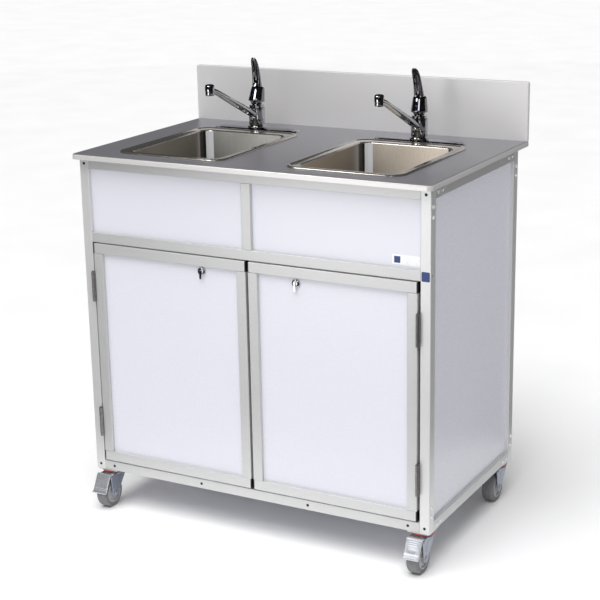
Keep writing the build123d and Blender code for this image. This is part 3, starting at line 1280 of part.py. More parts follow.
with BuildPart() as power_inlet:
    with BuildSketch(REAR_PLANE):
        with Locations((INLET_X, INLET_Z)):
            RectangleRounded(INLET_FLANGE[0], INLET_FLANGE[1], FLANGE_CORNER)
    extrude(amount=-INLET_FLANGE[2])
    with BuildSketch(REAR_PLANE):
        with Locations((INLET_X, INLET_Z)):
            Rectangle(INLET_CUT_WIDTH - BODY_PLAY, INLET_CUT_HEIGHT - BODY_PLAY)
    extrude(amount=INLET_BODY_DEPTH)
    with BuildSketch(Plane.XZ.offset(-OUTSIDE)):
        with Locations((INLET_X, INLET_Z)):
            RectangleRounded(SOCKET_SIZE[0], SOCKET_SIZE[1], SOCKET_CORNER)
    extrude(amount=SOCKET_CAVITY, mode=Mode.SUBTRACT)
    with BuildSketch(REAR_PLANE):
        with Locations((INLET_X, SWITCH_Z)):
            RectangleRounded(SWITCH_FLANGE[0], SWITCH_FLANGE[1], SOCKET_CORNER)
    extrude(amount=-SWITCH_FLANGE[2])
    with BuildSketch(REAR_PLANE):
        with Locations((INLET_X, SWITCH_Z)):
            Rectangle(SWITCH_CUT_WIDTH - BODY_PLAY, SWITCH_CUT_HEIGHT - BODY_PLAY)
    extrude(amount=SWITCH_BODY_DEPTH)
    with BuildSketch(Plane.XZ.offset(-REAR_PANEL_BACK - SWITCH_FLANGE[2])):
        with Locations((INLET_X, SWITCH_Z)):
            Rectangle(ROCKER_SIZE[0] + ROCKER_PLAY[0], ROCKER_SIZE[1] + ROCKER_PLAY[1])
    extrude(amount=SWITCH_BODY_DEPTH - SWITCH_FLANGE[2], mode=Mode.SUBTRACT)
write(power_inlet, "power_inlet")

with BuildPart() as rocker_switch:
    with BuildSketch(Plane.XY.offset(SWITCH_Z - ROCKER_SIZE[1] / 2)):
        with BuildLine():
            Polyline(
                (INLET_X - ROCKER_SIZE[0] / 2, ROCKER_PIVOT_Y - ROCKER_BACK),
                (INLET_X + ROCKER_SIZE[0] / 2, ROCKER_PIVOT_Y - ROCKER_BACK),
                (INLET_X + ROCKER_SIZE[0] / 2, ROCKER_PIVOT_Y + ROCKER_HIGH),
                (INLET_X, ROCKER_PIVOT_Y + ROCKER_MIDDLE),
                (INLET_X - ROCKER_SIZE[0] / 2, ROCKER_PIVOT_Y + ROCKER_LOW),
                close=True,
            )
        make_face()
    extrude(amount=ROCKER_SIZE[1])
write(rocker_switch, "rocker_switch")
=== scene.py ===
import math

import bmesh
import bpy
from mathutils import Matrix, Vector


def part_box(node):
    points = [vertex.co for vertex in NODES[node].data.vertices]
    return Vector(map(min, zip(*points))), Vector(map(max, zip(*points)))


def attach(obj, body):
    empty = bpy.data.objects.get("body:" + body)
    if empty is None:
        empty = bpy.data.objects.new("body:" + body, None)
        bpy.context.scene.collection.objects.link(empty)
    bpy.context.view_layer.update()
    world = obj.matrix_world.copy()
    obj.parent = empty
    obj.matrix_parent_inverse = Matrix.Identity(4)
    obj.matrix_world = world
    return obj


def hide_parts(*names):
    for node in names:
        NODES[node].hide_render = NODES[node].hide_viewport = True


# Looks of the portable handwash sink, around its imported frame. +X right, -Y front, +Z up.
# Blender works in metres. The pieces are drawn in millimetres and scaled by MM when finished.
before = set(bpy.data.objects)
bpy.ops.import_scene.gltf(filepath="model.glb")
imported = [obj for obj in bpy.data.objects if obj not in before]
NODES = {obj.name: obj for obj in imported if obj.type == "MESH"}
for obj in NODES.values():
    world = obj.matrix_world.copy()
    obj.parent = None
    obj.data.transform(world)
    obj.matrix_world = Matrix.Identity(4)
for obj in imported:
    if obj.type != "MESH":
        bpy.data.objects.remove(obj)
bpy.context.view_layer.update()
SIDES = ("left", "right")
ENDS = ("front", "rear")
MM = 0.001


# ---------------------------------------------------------------- material helpers
EVEN = (1, 1, 1)
ALONG_X = (0.03, 1, 1)
ALONG_Y = (1, 0.03, 1)
ALONG_Z = (1, 1, 0.03)
COAT_ROUGHNESS = 0.1


def new_material(name, metallic):
    """An empty procedural material, as (material, node tree, shader)."""
    material = bpy.data.materials.new(name)
    material.use_nodes = True
    tree = material.node_tree
    shader = tree.nodes["Principled BSDF"]
    shader.inputs["Metallic"].default_value = metallic
    return material, tree, shader


def add_node(tree, kind, **values):
    """A new shader node with the given input values; underscores stand for spaces."""
    made = tree.nodes.new(kind)
    for key, value in values.items():
        made.inputs[key.replace("_", " ")].default_value = value
    return made


def noise(tree, scale, detail=3.0, stretch=EVEN):
    """A noise value in object space, stretched along the axes."""
    coords = add_node(tree, "ShaderNodeTexCoord")
    mapping = add_node(tree, "ShaderNodeMapping", Scale=stretch)
    texture = add_node(tree, "ShaderNodeTexNoise", Scale=scale, Detail=detail)
    tree.links.new(coords.outputs["Object"], mapping.inputs["Vector"])
    tree.links.new(mapping.outputs["Vector"], texture.inputs["Vector"])
    return texture.outputs["Fac"]


def span(tree, value, low, high, from_low=0.3, from_high=0.7):
    """The value mapped onto low to high."""
    ramp = add_node(
        tree, "ShaderNodeMapRange", From_Min=from_low, From_Max=from_high, To_Min=low, To_Max=high
    )
    tree.links.new(value, ramp.inputs["Value"])
    return ramp.outputs["Result"]


def shades(tree, value, dark, light, low=0.3, high=0.7):
    """A colour between dark and light, chosen by the value."""
    ramp = add_node(tree, "ShaderNodeValToRGB")
    for stop, place, colour in zip(ramp.color_ramp.elements, (low, high), (dark, light)):
        stop.position = place
        stop.color = (*colour, 1)
    tree.links.new(value, ramp.inputs["Fac"])
    return ramp.outputs["Color"]


def combined(tree, operation, first, second):
    """Two values joined by a math operation."""
    joint = add_node(tree, "ShaderNodeMath")
    joint.operation = operation
    tree.links.new(first, joint.inputs[0])
    tree.links.new(second, joint.inputs[1])
    return joint.outputs["Value"]


def bump(tree, shader, height, strength, distance):
    """Fine relief from a height value."""
    relief = add_node(tree, "ShaderNodeBump", Strength=strength, Distance=distance)
    tree.links.new(height, relief.inputs["Height"])
    tree.links.new(relief.outputs["Normal"], shader.inputs["Normal"])


def surface(
    name, dark, light, metallic, rough, scale, stretch=EVEN, detail=3.0, relief=0.02,
    relief_scale=60, relief_depth=0.0002, coat=0.0,
):
    """A material whose colour and roughness vary with one noise and whose relief follows another."""
    material, tree, shader = new_material(name, metallic)
    value = noise(tree, scale, detail, stretch)
    tree.links.new(shades(tree, value, dark, light), shader.inputs["Base Color"])
    tree.links.new(span(tree, value, *rough), shader.inputs["Roughness"])
    shader.inputs["Coat Weight"].default_value = coat
    shader.inputs["Coat Roughness"].default_value = COAT_ROUGHNESS
    bump(tree, shader, noise(tree, relief_scale, 2.0, stretch), relief, relief_depth)
    return material


# ---------------------------------------------------------------- materials
# Where the painted reflection on a bowl's rear wall lightens, across and up, and how much each adds.
BOWL_PAINTED_REFLECTION_X = (-0.12, 0.05)
BOWL_PAINTED_REFLECTION_Z = (0.80, 0.91)
BOWL_PAINTED_REFLECTION_SHARES = (0.65, 0.35)
BRAID_ANGLE = math.radians(45)
# One band of the wave texture for each strand of the map.
BRAID_SCALE = math.tau * math.sqrt(2) / 20


def bowl_rear_painted_reflection(name, dark, light, centre_x):
    """Brushed steel with a painted reflection that gets lighter towards the upper right of a bowl's
    rear wall.
    """
    material, tree, shader = new_material(name, 0.1)
    axes = add_node(tree, "ShaderNodeSeparateXYZ")
    tree.links.new(add_node(tree, "ShaderNodeTexCoord").outputs["Object"], axes.inputs["Vector"])
    start_x, end_x = (centre_x + offset for offset in BOWL_PAINTED_REFLECTION_X)
    across = span(tree, axes.outputs["X"], 0.0, BOWL_PAINTED_REFLECTION_SHARES[0], start_x, end_x)
    up = span(tree, axes.outputs["Z"], 0.0, BOWL_PAINTED_REFLECTION_SHARES[1], *BOWL_PAINTED_REFLECTION_Z)
    total = combined(tree, "ADD", across, up)
    tree.links.new(shades(tree, total, dark, light, 0.1, 0.9), shader.inputs["Base Color"])
    grain = noise(tree, 1300, 4.0, ALONG_Z)
    tree.links.new(span(tree, grain, 0.26, 0.32), shader.inputs["Roughness"])
    bump(tree, shader, grain, 0.01, 0.00002)
    return material


def braided(name, dark, light):
    """Bright wire woven round a hose, on the hose's own map of strands."""
    material, tree, shader = new_material(name, 0.8)
    coords = add_node(tree, "ShaderNodeTexCoord")
    crossing = []
    for turn in (BRAID_ANGLE, -BRAID_ANGLE):
        mapping = add_node(tree, "ShaderNodeMapping", Rotation=(0, 0, turn))
        wave = add_node(
            tree, "ShaderNodeTexWave", Scale=BRAID_SCALE, Distortion=0.4, Detail_Scale=2.0
        )
        tree.links.new(coords.outputs["UV"], mapping.inputs["Vector"])
        tree.links.new(mapping.outputs["Vector"], wave.inputs["Vector"])
        crossing.append(wave.outputs["Fac"])
    weave = combined(tree, "MAXIMUM", *crossing)
    tree.links.new(shades(tree, weave, dark, light), shader.inputs["Base Color"])
    tree.links.new(span(tree, weave, 0.5, 0.28), shader.inputs["Roughness"])
    bump(tree, shader, weave, 0.6, 0.0004)
    return material


TUBE = ((0.64, 0.64, 0.64), (0.69, 0.69, 0.69), 0.45, (0.36, 0.42), 1200)
TUBE_RELIEF = (4, 0.05, 2400, 5e-5)
SINK_GRAIN = (1300, ALONG_Z, 4, 0.01, 2600, 2e-5)
SURFACES = {
    # dark, light, metallic, roughness, scale, stretch, detail, relief, its scale and depth, coat
    "tube_x": (*TUBE, ALONG_X, *TUBE_RELIEF),
    "tube_y": (*TUBE, ALONG_Y, *TUBE_RELIEF),
    # The posts' tube is lighter than the rails': painted reflection.
    "tube_z_painted_reflection": ((0.76, 0.76, 0.76), (0.81, 0.81, 0.81), *TUBE[2:], ALONG_Z, *TUBE_RELIEF),
    "white_panel": (
        (0.735, 0.74, 0.812), (0.757, 0.762, 0.834), 0, (0.25, 0.29), 900, EVEN, 4, 0.02, 1500, 2e-5
    ),
    "counter_top": (
        (0.245, 0.24, 0.26), (0.27, 0.265, 0.285), 0.3, (0.32, 0.38), 1400, ALONG_X, 4, 0.04, 2600,
        5e-5,
    ),
    "counter_edge": (
        (0.70, 0.69, 0.68), (0.74, 0.73, 0.72), 0.3, (0.30, 0.36), 900, ALONG_X, 4, 0.04, 2400, 5e-5
    ),
    "splash": (
        (0.745, 0.735, 0.74), (0.755, 0.745, 0.75), 0.1, (0.28, 0.30), 1200, ALONG_X, 4, 0.02, 2400,
        3e-5,
    ),
    "sink_steel": ((0.58, 0.55, 0.51), (0.62, 0.59, 0.55), 0.9, (0.20, 0.24), *SINK_GRAIN),
    # Painted shade and a painted highlight for a bowl's upright corner, and painted shade for its
    # left wall.
    "sink_corner_painted_shade": ((0.10, 0.09, 0.08), (0.14, 0.13, 0.12), 0.9, (0.20, 0.24), *SINK_GRAIN),
    "sink_left_wall_painted_shade": ((0.33, 0.30, 0.27), (0.37, 0.34, 0.30), 0.9, (0.20, 0.24), *SINK_GRAIN),
    "sink_corner_painted_highlight": ((0.84, 0.85, 0.88), (0.90, 0.91, 0.94), 0.2, (0.22, 0.28), *SINK_GRAIN),
    "chrome": (
        (0.58, 0.59, 0.61), (0.62, 0.63, 0.65), 1, (0.03, 0.05), 60, EVEN, 4, 0.004, 200, 2e-5
    ),
    # A darker copy of the chrome, a painted dark reflection, for the handles and the deck plate's
    # crown.
    "chrome_painted_dark_reflection": (
        (0.32, 0.32, 0.35), (0.36, 0.36, 0.39), 1, (0.03, 0.05), 60, EVEN, 4, 0.004, 200, 2e-5
    ),
    "hinge_steel": (
        (0.26, 0.25, 0.24), (0.42, 0.41, 0.40), 0.9, (0.38, 0.55), 160, EVEN, 5, 0.25, 900, 1e-4
    ),
    "zinc": (
        (0.58, 0.60, 0.64), (0.70, 0.72, 0.76), 0.7, (0.24, 0.34), 1100, EVEN, 4, 0.02, 1500, 3e-5
    ),
    "fork_zinc": (
        (0.34, 0.37, 0.44), (0.44, 0.48, 0.56), 0.7, (0.24, 0.34), 1100, EVEN, 4, 0.02, 1500, 3e-5
    ),
    # Near-white heads: the screws' metal with a painted highlight.
    "screw_painted_highlight": (
        (0.90, 0.90, 0.90), (0.98, 0.98, 0.98), 0.3, (0.2, 0.3), 400, EVEN, 3, 0.02, 900, 5e-5
    ),
    "dark_screw": (
        (0.015, 0.015, 0.016), (0.04, 0.04, 0.042), 0.6, (0.35, 0.5), 500, EVEN, 3, 0.2, 1200, 1e-4
    ),
    "black_plastic": (
        (0.012, 0.012, 0.012), (0.024, 0.024, 0.025), 0, (0.38, 0.52), 250, EVEN, 3, 0.3, 1500, 1e-4
    ),
    "orange_ring": (
        (0.50, 0.07, 0.02), (0.62, 0.12, 0.035), 0, (0.35, 0.48), 200, EVEN, 3, 0.15, 1200, 1e-4
    ),
    "tread": (
        (0.17, 0.17, 0.175), (0.26, 0.26, 0.265), 0, (0.55, 0.75), 150, EVEN, 5, 0.35, 1100, 2e-4
    ),
    "hub_plastic": (
        (0.42, 0.42, 0.43), (0.52, 0.52, 0.53), 0, (0.35, 0.48), 120, EVEN, 3, 0.15, 900, 1e-4
    ),
    "fresh_tank": (
        (0.70, 0.76, 0.82), (0.80, 0.84, 0.88), 0, (0.35, 0.5), 12, EVEN, 4, 0.25, 160, 4e-4
    ),
    "waste_tank": (
        (0.16, 0.17, 0.19), (0.22, 0.23, 0.25), 0, (0.4, 0.55), 12, EVEN, 4, 0.25, 160, 4e-4
    ),
    "cap_plastic": (
        (0.02, 0.07, 0.30), (0.03, 0.10, 0.38), 0, (0.3, 0.42), 150, EVEN, 3, 0.2, 900, 1e-4
    ),
    "enamel": (
        (0.78, 0.78, 0.77), (0.83, 0.83, 0.82), 0, (0.2, 0.3), 20, EVEN, 4, 0.12, 380, 2e-4, 0.4
    ),
    "drain_hose": (
        (0.02, 0.02, 0.022), (0.04, 0.04, 0.043), 0, (0.4, 0.55), 120, EVEN, 3, 0.2, 500, 2e-4
    ),
    "label_white": (
        (0.84, 0.84, 0.86), (0.90, 0.90, 0.92), 0, (0.25, 0.35), 90, EVEN, 3, 0.06, 700, 1e-4, 0.3
    ),
    "blue_label": (
        (0.02, 0.04, 0.16), (0.03, 0.06, 0.22), 0, (0.3, 0.4), 200, EVEN, 3, 0.1, 900, 1e-4
    ),
}
# The bowls' rear walls, with a painted reflection from dark to light.
BOWL_BACKS = {
    # dark and light of the painted reflection, and the bowl's middle in metres
    "left_bowl_rear_painted_reflection": ((0.10, 0.09, 0.08), (0.62, 0.62, 0.58), -0.229),
    "right_bowl_rear_painted_reflection": ((0.20, 0.18, 0.16), (1.0, 0.88, 0.74), 0.229),
}
MATERIALS = {name: surface(name, *row) for name, row in SURFACES.items()}
MATERIALS.update({name: bowl_rear_painted_reflection(name, *row) for name, row in BOWL_BACKS.items()})
MATERIALS["braided_hose"] = braided("braided_hose", (0.10, 0.10, 0.11), (0.62, 0.63, 0.66))

# The CAD nodes that stay in sight, by material. The rest are replaced by pieces.
PAINTED = {
    "tube_x": ("front_rails", "rear_rails", "left_door_frame", "right_door_frame"),
    "tube_y": ("side_rails",),
    "tube_z_painted_reflection": ("frame_posts",),
    "white_panel": (
        "upper_panels", "side_panels", "rear_panel", "floor_panel", "left_door_panel",
        "right_door_panel",
    ),
    "counter_top": ("countertop",),
    "splash": ("backsplash",),
    "sink_steel": ("drain_fittings", "left_strainer", "right_strainer"),
    "hinge_steel": ("post_hinge_leaves", "left_hinge_leaves", "right_hinge_leaves"),
    "zinc": ("corner_brackets", "caster_plates"),
    "dark_screw": ("front_screws",),
    "black_plastic": ("pump", "power_inlet", "rocker_switch", "left_door_caps", "right_door_caps"),
    "orange_ring": ("dust_rings",),
    "enamel": ("water_heater",),
}
for material_name, painted_nodes in PAINTED.items():
    for painted in painted_nodes:
        slots = NODES[painted].data.materials
        slots.clear()
        slots.append(MATERIALS[material_name])

# The countertop's thin edge is lighter than its top.
EDGE_NORMAL_Z = 0.6
counter = NODES["countertop"].data
counter.materials.append(MATERIALS["counter_edge"])
for polygon in counter.polygons:
    polygon.material_index = 1 if abs(polygon.normal.z) < EDGE_NORMAL_Z else 0

# ---------------------------------------------------------------- mesh helpers
ROUND_COUNT = 64
THINNEST = 0.01
NEARLY_ALONG = 0.99
SHARP_DEG = 35
STRAIGHT_AREA = 1e-6


def box(node):
    """The low and high corners of a CAD node, in millimetres."""
    low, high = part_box(node)
    return low / MM, high / MM


def middle_of(node):
    """The middle of a CAD node's box, in millimetres."""
    low, high = box(node)
    return (low + high) / 2


def upright(x, y):
    """A matrix that moves a form drawn round the Z axis to x, y."""
    return Matrix.Translation((x, y, 0))


def axes_at(origin, up, side=(1, 0, 0)):
    """A matrix whose Z axis is up and whose X axis is near side, placed at origin."""
    z_axis = Vector(up).normalized()
    x_axis = Vector(side)
    if abs(x_axis.dot(z_axis)) > NEARLY_ALONG:
        x_axis = Vector((0, 1, 0))
    y_axis = z_axis.cross(x_axis).normalized()
    x_axis = y_axis.cross(z_axis)
    return Matrix.Translation(origin) @ Matrix((x_axis, y_axis, z_axis)).transposed().to_4x4()


def turns(count):
    """Equal steps round a full turn."""
    return [math.tau * i / count for i in range(count)]


def oval(half_x, half_y, height=0.0, count=ROUND_COUNT):
    """Points round an ellipse."""
    return [(half_x * math.cos(a), half_y * math.sin(a), height) for a in turns(count)]


def circle(radius, height=0.0, count=ROUND_COUNT):
    """Points round a circle."""
    return oval(radius, radius, height, count)


def round_box(half_x, half_y, corner, height=0.0, per_corner=12, per_side=8):
    """Points round a rectangle with round corners, in step with every other such ring."""
    points = []
    signs = ((1, 1), (-1, 1), (-1, -1), (1, -1))
    for quarter, (sign_x, sign_y) in enumerate(signs):
        angle = math.pi / 2 * quarter
        centre = Vector((sign_x * (half_x - corner), sign_y * (half_y - corner), height))
        for i in range(per_corner + 1):
            a = angle + math.pi / 2 * i / per_corner
            points.append(centre + Vector((corner * math.cos(a), corner * math.sin(a), 0)))
        next_x, next_y = signs[(quarter + 1) % 4]
        a = angle + math.pi / 2
        start = Vector((next_x * (half_x - corner), next_y * (half_y - corner), height))
        start += Vector((corner * math.cos(a), corner * math.sin(a), 0))
        end = points[-1]
        points += [end.lerp(start, i / per_side) for i in range(1, per_side)]
    return points


def blend_rings(first, second, share):
    """A ring between two rings."""
    return [Vector(p).lerp(Vector(q), share) for p, q in zip(first, second)]


def round_path(points, radius, steps=6):
    """A 2-D polyline with its inner corners rounded."""
    path = [Vector(points[0])]
    for before, corner, after in zip(points, points[1:], points[2:]):
        corner = Vector(corner)
        back = (Vector(before) - corner).normalized() * radius
        forth = (Vector(after) - corner).normalized() * radius
        for i in range(steps + 1):
            t = i / steps
            path.append(corner + back * (1 - t) ** 2 + forth * t**2)
    path.append(Vector(points[-1]))
    return path


def spaced(line, step):
    """Points at equal steps along a line of points."""
    points = [line[0]]
    needed = step
    for before, after in zip(line, line[1:]):
        length = (after - before).length
        along = 0.0
        while length - along > needed:
            along += needed
            points.append(before.lerp(after, along / length))
            needed = step
        needed -= length - along
    points.append(line[-1])
    return points


def inset(outline, distance):
    """A 2-D outline, counter-clockwise, moved inwards."""
    moved = []
    for i, point in enumerate(outline):
        before = Vector(outline[i - 1])
        after = Vector(outline[(i + 1) % len(outline)])
        point = Vector(point)
        edge_in = (point - before).normalized()
        edge_out = (after - point).normalized()
        normal = Vector((-edge_in.y - edge_out.y, edge_in.x + edge_out.x)).normalized()
        moved.append(point + normal * distance)
    return moved


def hull_outline(circles, steps=24):
    """The outline round several circles, as 2-D points, counter-clockwise."""
    points = []
    for x, y, radius in circles:
        points += [(x + radius * math.cos(a), y + radius * math.sin(a)) for a in turns(steps)]
    points = sorted(set(points))

    def half(ordered):
        """One side of the hull."""
        chain = []
        for p in ordered:
            while len(chain) > 1:
                a, b = chain[-2], chain[-1]
                if (b[0] - a[0]) * (p[1] - a[1]) - (b[1] - a[1]) * (p[0] - a[0]) > STRAIGHT_AREA:
                    break
                chain.pop()
            chain.append(p)
        return chain[:-1]

    return half(points) + half(points[::-1])


def smooth(mesh, sharp=SHARP_DEG):
    """Smooth faces, apart from the sharp edges."""
    mesh.polygons.foreach_set("use_smooth", [True] * len(mesh.polygons))
    mesh.set_sharp_from_angle(angle=math.radians(sharp))


class Shape:
    """Vertices and faces gathered for one piece. Each face keeps the paint in use when it is made."""

    def __init__(self):
        self.vertices = []
        self.faces = []
        self.paints = []
        self.paint = 0

    def face(self, corners):
        """One face."""
        self.faces.append(tuple(corners))
        self.paints.append(self.paint)

    def skin(self, rings, place=None, close_start=True, close_end=True, joined=False):
        """A skin over rings with equal counts of points; joined also joins the last to the first."""
        first = len(self.vertices)
        count = len(rings[0])
        for ring in rings:
            for point in ring:
                self.vertices.append(place @ Vector(point) if place else Vector(point))
        last = len(rings) if joined else len(rings) - 1
        for level in range(last):
            low = first + level * count
            high = first + (level + 1) % len(rings) * count
            for i in range(count):
                j = (i + 1) % count
                self.face((low + i, low + j, high + j, high + i))
        if joined:
            return
        if close_start:
            self.face(reversed(range(first, first + count)))
        if close_end:
            top = first + (len(rings) - 1) * count
            self.face(range(top, top + count))

    def lathe(self, profile, place, count=ROUND_COUNT, joined=False):
        """A round form from (radius, height) points; joined makes a hollow ring of it."""
        rings = [circle(max(radius, THINNEST), height, count) for radius, height in profile]
        self.skin(rings, place, joined=joined)

    def slab(self, outline, thick, place, edge):
        """A plate from a 2-D outline, counter-clockwise, with softened edges."""
        inner = inset(outline, edge)
        levels = ((inner, 0.0), (outline, edge), (outline, thick - edge), (inner, thick))
        self.skin([[(p[0], p[1], height) for p in ring] for ring, height in levels], place)

    def sweep(self, path, ring_of):
        """Rings set square to a 3-D path; ring_of gives the 2-D ring at each index."""
        rings = []
        side = Vector((1, 0, 0))
        for i, point in enumerate(path):
            before = path[max(i - 1, 0)]
            after = path[min(i + 1, len(path) - 1)]
            along = (after - before).normalized()
            side = (side - along * side.dot(along)).normalized()
            up = along.cross(side)
            rings.append([point + side * p[0] + up * p[1] for p in ring_of(i)])
        self.skin(rings)

    def finish(self, name, body, materials, replaced=(), sharp=SHARP_DEG):
        """The finished piece in metres, riding on its body."""
        mesh = bpy.data.meshes.new(name)
        mesh.from_pydata([tuple(v * MM) for v in self.vertices], [], self.faces)
        for material in materials:
            mesh.materials.append(MATERIALS[material])
        mesh.polygons.foreach_set("material_index", self.paints)
        edit = bmesh.new()
        edit.from_mesh(mesh)
        bmesh.ops.recalc_face_normals(edit, faces=edit.faces)
        edit.to_mesh(mesh)
        edit.free()
        smooth(mesh, sharp)
        piece = bpy.data.objects.new(name, mesh)
        bpy.context.scene.collection.objects.link(piece)
        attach(piece, body)
        if replaced:
            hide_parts(*replaced)
        return piece


# ---------------------------------------------------------------- sinks
BOWL_HALF = (123, 170.5)
BOWL_CORNER = 26
RIM_CORNER = 38
# The rolled bead, as distance in from the rim's edge and height over the counter.
BEAD_START = ((0.0, 0.15), (0.0, 1.6), (0.7, 3.1), (2.2, 4.2))
BEAD_CREST = 4.4
BEAD_END = ((6.4, 4.1), (7.8, 3.1), (8.6, 2.2), (9.6, 1.8))
LEDGE_HEIGHT = 1.8
LIP_ROUND = 4.5
LIP_STEPS = 6
FLOOR_ROUND = 20
FLOOR_STEPS = 8
FLOOR_CORNER = 7
FLOOR_FALL = 1.5
FALL_SHARES = (0.25, 0.55, 0.8, 0.93)
STEEL = 1.2
DRAIN_R = 26
WALL_NORMAL_Z = 0.5
# Up to this turn round the corner the wall gets painted shade, beyond it a painted highlight.
CORNER_PAINTED_SHADE_TO_DEG = 45


def bowl_rings(node):
    """The bowl's rings, from the bead's edge over the lip and down to the drain."""
    low, high = box(node)
    half_x = (high.x - low.x) / 2
    half_y = (high.y - low.y) / 2
    counter = box("countertop")[1].z
    floor = low.z + STEEL
    bead = (*BEAD_START, (BEAD_CREST, high.z - counter), *BEAD_END)
    rings = [
        round_box(half_x - inward, half_y - inward, RIM_CORNER - inward, counter + height)
        for inward, height in bead
    ]
    for i in range(LIP_STEPS + 1):
        angle = math.pi / 2 * i / LIP_STEPS
        out = LIP_ROUND * (1 - math.sin(angle))
        height = counter + LEDGE_HEIGHT - LIP_ROUND * (1 - math.cos(angle))
        rings.append(round_box(BOWL_HALF[0] + out, BOWL_HALF[1] + out, BOWL_CORNER + out, height))
    for i in range(FLOOR_STEPS + 1):
        angle = math.pi / 2 * i / FLOOR_STEPS
        inward = FLOOR_ROUND * (1 - math.cos(angle))
        height = floor + FLOOR_FALL + FLOOR_ROUND * (1 - math.sin(angle))
        corner = max(BOWL_CORNER - inward, FLOOR_CORNER)
        rings.append(round_box(BOWL_HALF[0] - inward, BOWL_HALF[1] - inward, corner, height))
    floor_edge = rings[-1]
    centre = Vector((0, 0, floor))
    drain_edge = [Vector((p[0], p[1], 0)).normalized() * DRAIN_R + centre for p in floor_edge]
    rings += [blend_rings(floor_edge, drain_edge, share) for share in FALL_SHARES]
    rings.append(drain_edge)
    return rings


def paint_bowl_light_and_shade(piece, centre, counter):
    """Painted shade on the left wall, and on the upright corner left of the rear wall a band of
    painted shade beside a painted highlight; the rear wall gets its painted reflection.
    """
    left = centre.x - BOWL_HALF[0]
    rear = centre.y + BOWL_HALF[1]
    corner_x = left + BOWL_CORNER
    corner_y = rear - BOWL_CORNER
    for polygon in piece.data.polygons:
        place = polygon.center / MM
        if abs(polygon.normal.z) >= WALL_NORMAL_Z or place.z >= counter - 2:
            continue
        if place.y < corner_y:
            if place.x < left + 1:
                polygon.material_index = 4
        elif place.x >= corner_x:
            if place.y > rear - 1:
                polygon.material_index = 3
        else:
            turn = math.degrees(math.atan2(place.y - corner_y, corner_x - place.x))
            polygon.material_index = 1 if turn < CORNER_PAINTED_SHADE_TO_DEG else 2


def make_sink(side):
    """A pressed bowl with a rolled bead round its rim."""
    node = f"{side}_sink"
    centre = middle_of(node)
    shape = Shape()
    shape.skin(bowl_rings(node), upright(centre.x, centre.y), close_start=False, close_end=False)
    # After the plain steel: painted shade and highlight for the corner, the painted reflection of the
    # rear wall and painted shade for the left wall.
    materials = ["sink_steel", "sink_corner_painted_shade", "sink_corner_painted_highlight", f"{side}_bowl_rear_painted_reflection", "sink_left_wall_painted_shade"]
    piece = shape.finish(f"{side}_sink_bowl", "cabinet", materials, [node], 60)
    paint_bowl_light_and_shade(piece, centre, box("countertop")[1].z)
    wall = piece.modifiers.new("wall", "SOLIDIFY")
    wall.thickness = STEEL * MM
    wall.offset = -1


# ---------------------------------------------------------------- faucets
DECK_HALF = (123, 27.5)
DECK_RISE = 8
# The deck plate's crown, as distance in from its edge and height over the counter.
DECK_EDGE = ((0.0, 0.1), (0.0, 1.2), (0.7, 2.4), (2.2, 3.5))
DECK_TOP = ((2.2, 3.5), (6, 5), (10, 6.3), (14, 7.3), (18, 7.85), (22, 8))
END_STEPS = 20
STRAIGHT_STEPS = 8
THREAD_PITCH = 2
THREAD_R = (11.2, 12)


def slot_ring(half_length, half_width, height):
    """Points round a slot with round ends."""
    points = []
    straight = half_length - half_width
    for sign in (1, -1):
        for i in range(END_STEPS + 1):
            angle = -math.pi / 2 + math.pi * i / END_STEPS + (0 if sign > 0 else math.pi)
            x = sign * straight + half_width * math.cos(angle)
            points.append((x, half_width * math.sin(angle), height))
        for i in range(1, STRAIGHT_STEPS):
            x = sign * straight * (1 - 2 * i / STRAIGHT_STEPS)
            points.append((x, sign * half_width, height))
    return points


def deck_rings(profile, deck):
    """Rings of the deck plate at the profile's steps."""
    length, width = DECK_HALF
    return [slot_ring(length - inward, width - inward, deck + rise) for inward, rise in profile]


def make_faucet_body(side):
    """The crowned deck plate, the column, its core and collar, and the shank with its nut."""
    axis = middle_of(f"{side}_cartridge")
    under, deck = (corner.z for corner in box("countertop"))
    base = deck + DECK_RISE
    place = upright(axis.x, axis.y)
    shape = Shape()
    shape.skin(deck_rings(DECK_EDGE, deck), place, close_end=False)
    # The crown's top is the chrome with a painted dark reflection.
    shape.paint = 1
    shape.skin(deck_rings(DECK_TOP, deck), place, close_start=False)
    shape.paint = 0
    spout_low, spout_high = spout_ring_span(side)
    column = [
        (24, base - 1.5), (24, base + 2.6), (23.4, base + 3.7), (22, base + 4.2), (21, base + 5),
        (21, spout_low - 1.2), (20.2, spout_low - 0.4), (14.6, spout_low - 0.4),
        (14.6, spout_high + 0.4), (21.2, spout_high + 0.4), (22, spout_high + 1.1),
        (22, spout_high + 2.4), (21.4, spout_high + 3), (0, spout_high + 3),
    ]
    shape.lathe(column, place)
    shank_bottom = box("faucet_bodies")[0].z
    thread = []
    for i in range(round((deck - shank_bottom) / THREAD_PITCH) - 1):
        root = shank_bottom + i * THREAD_PITCH
        thread += [(THREAD_R[0], root), (THREAD_R[1], root + THREAD_PITCH / 2)]
    shape.lathe(thread, place, 32)
    nut = [
        (13, under - 8), (20, under - 8), (21, under - 7), (21, under - 1), (20, under - 0.2),
        (13, under - 0.2),
    ]
    shape.lathe(nut, place, 6)
    materials = ["chrome", "chrome_painted_dark_reflection"]
    shape.finish(f"{side}_faucet_column", "cabinet", materials, ["faucet_bodies"])


SPOUT_RING_HEIGHT = 27.2
SPOUT_RISE = math.radians(24.5)
SPOUT_REACH = 225
ARM_STEPS = 26
ARM_START = (15.6, 16)
ARM_END_BEFORE_HEAD = 3
ARM_DROOP_LENGTH = 30
ARM_DROOP = 0.005
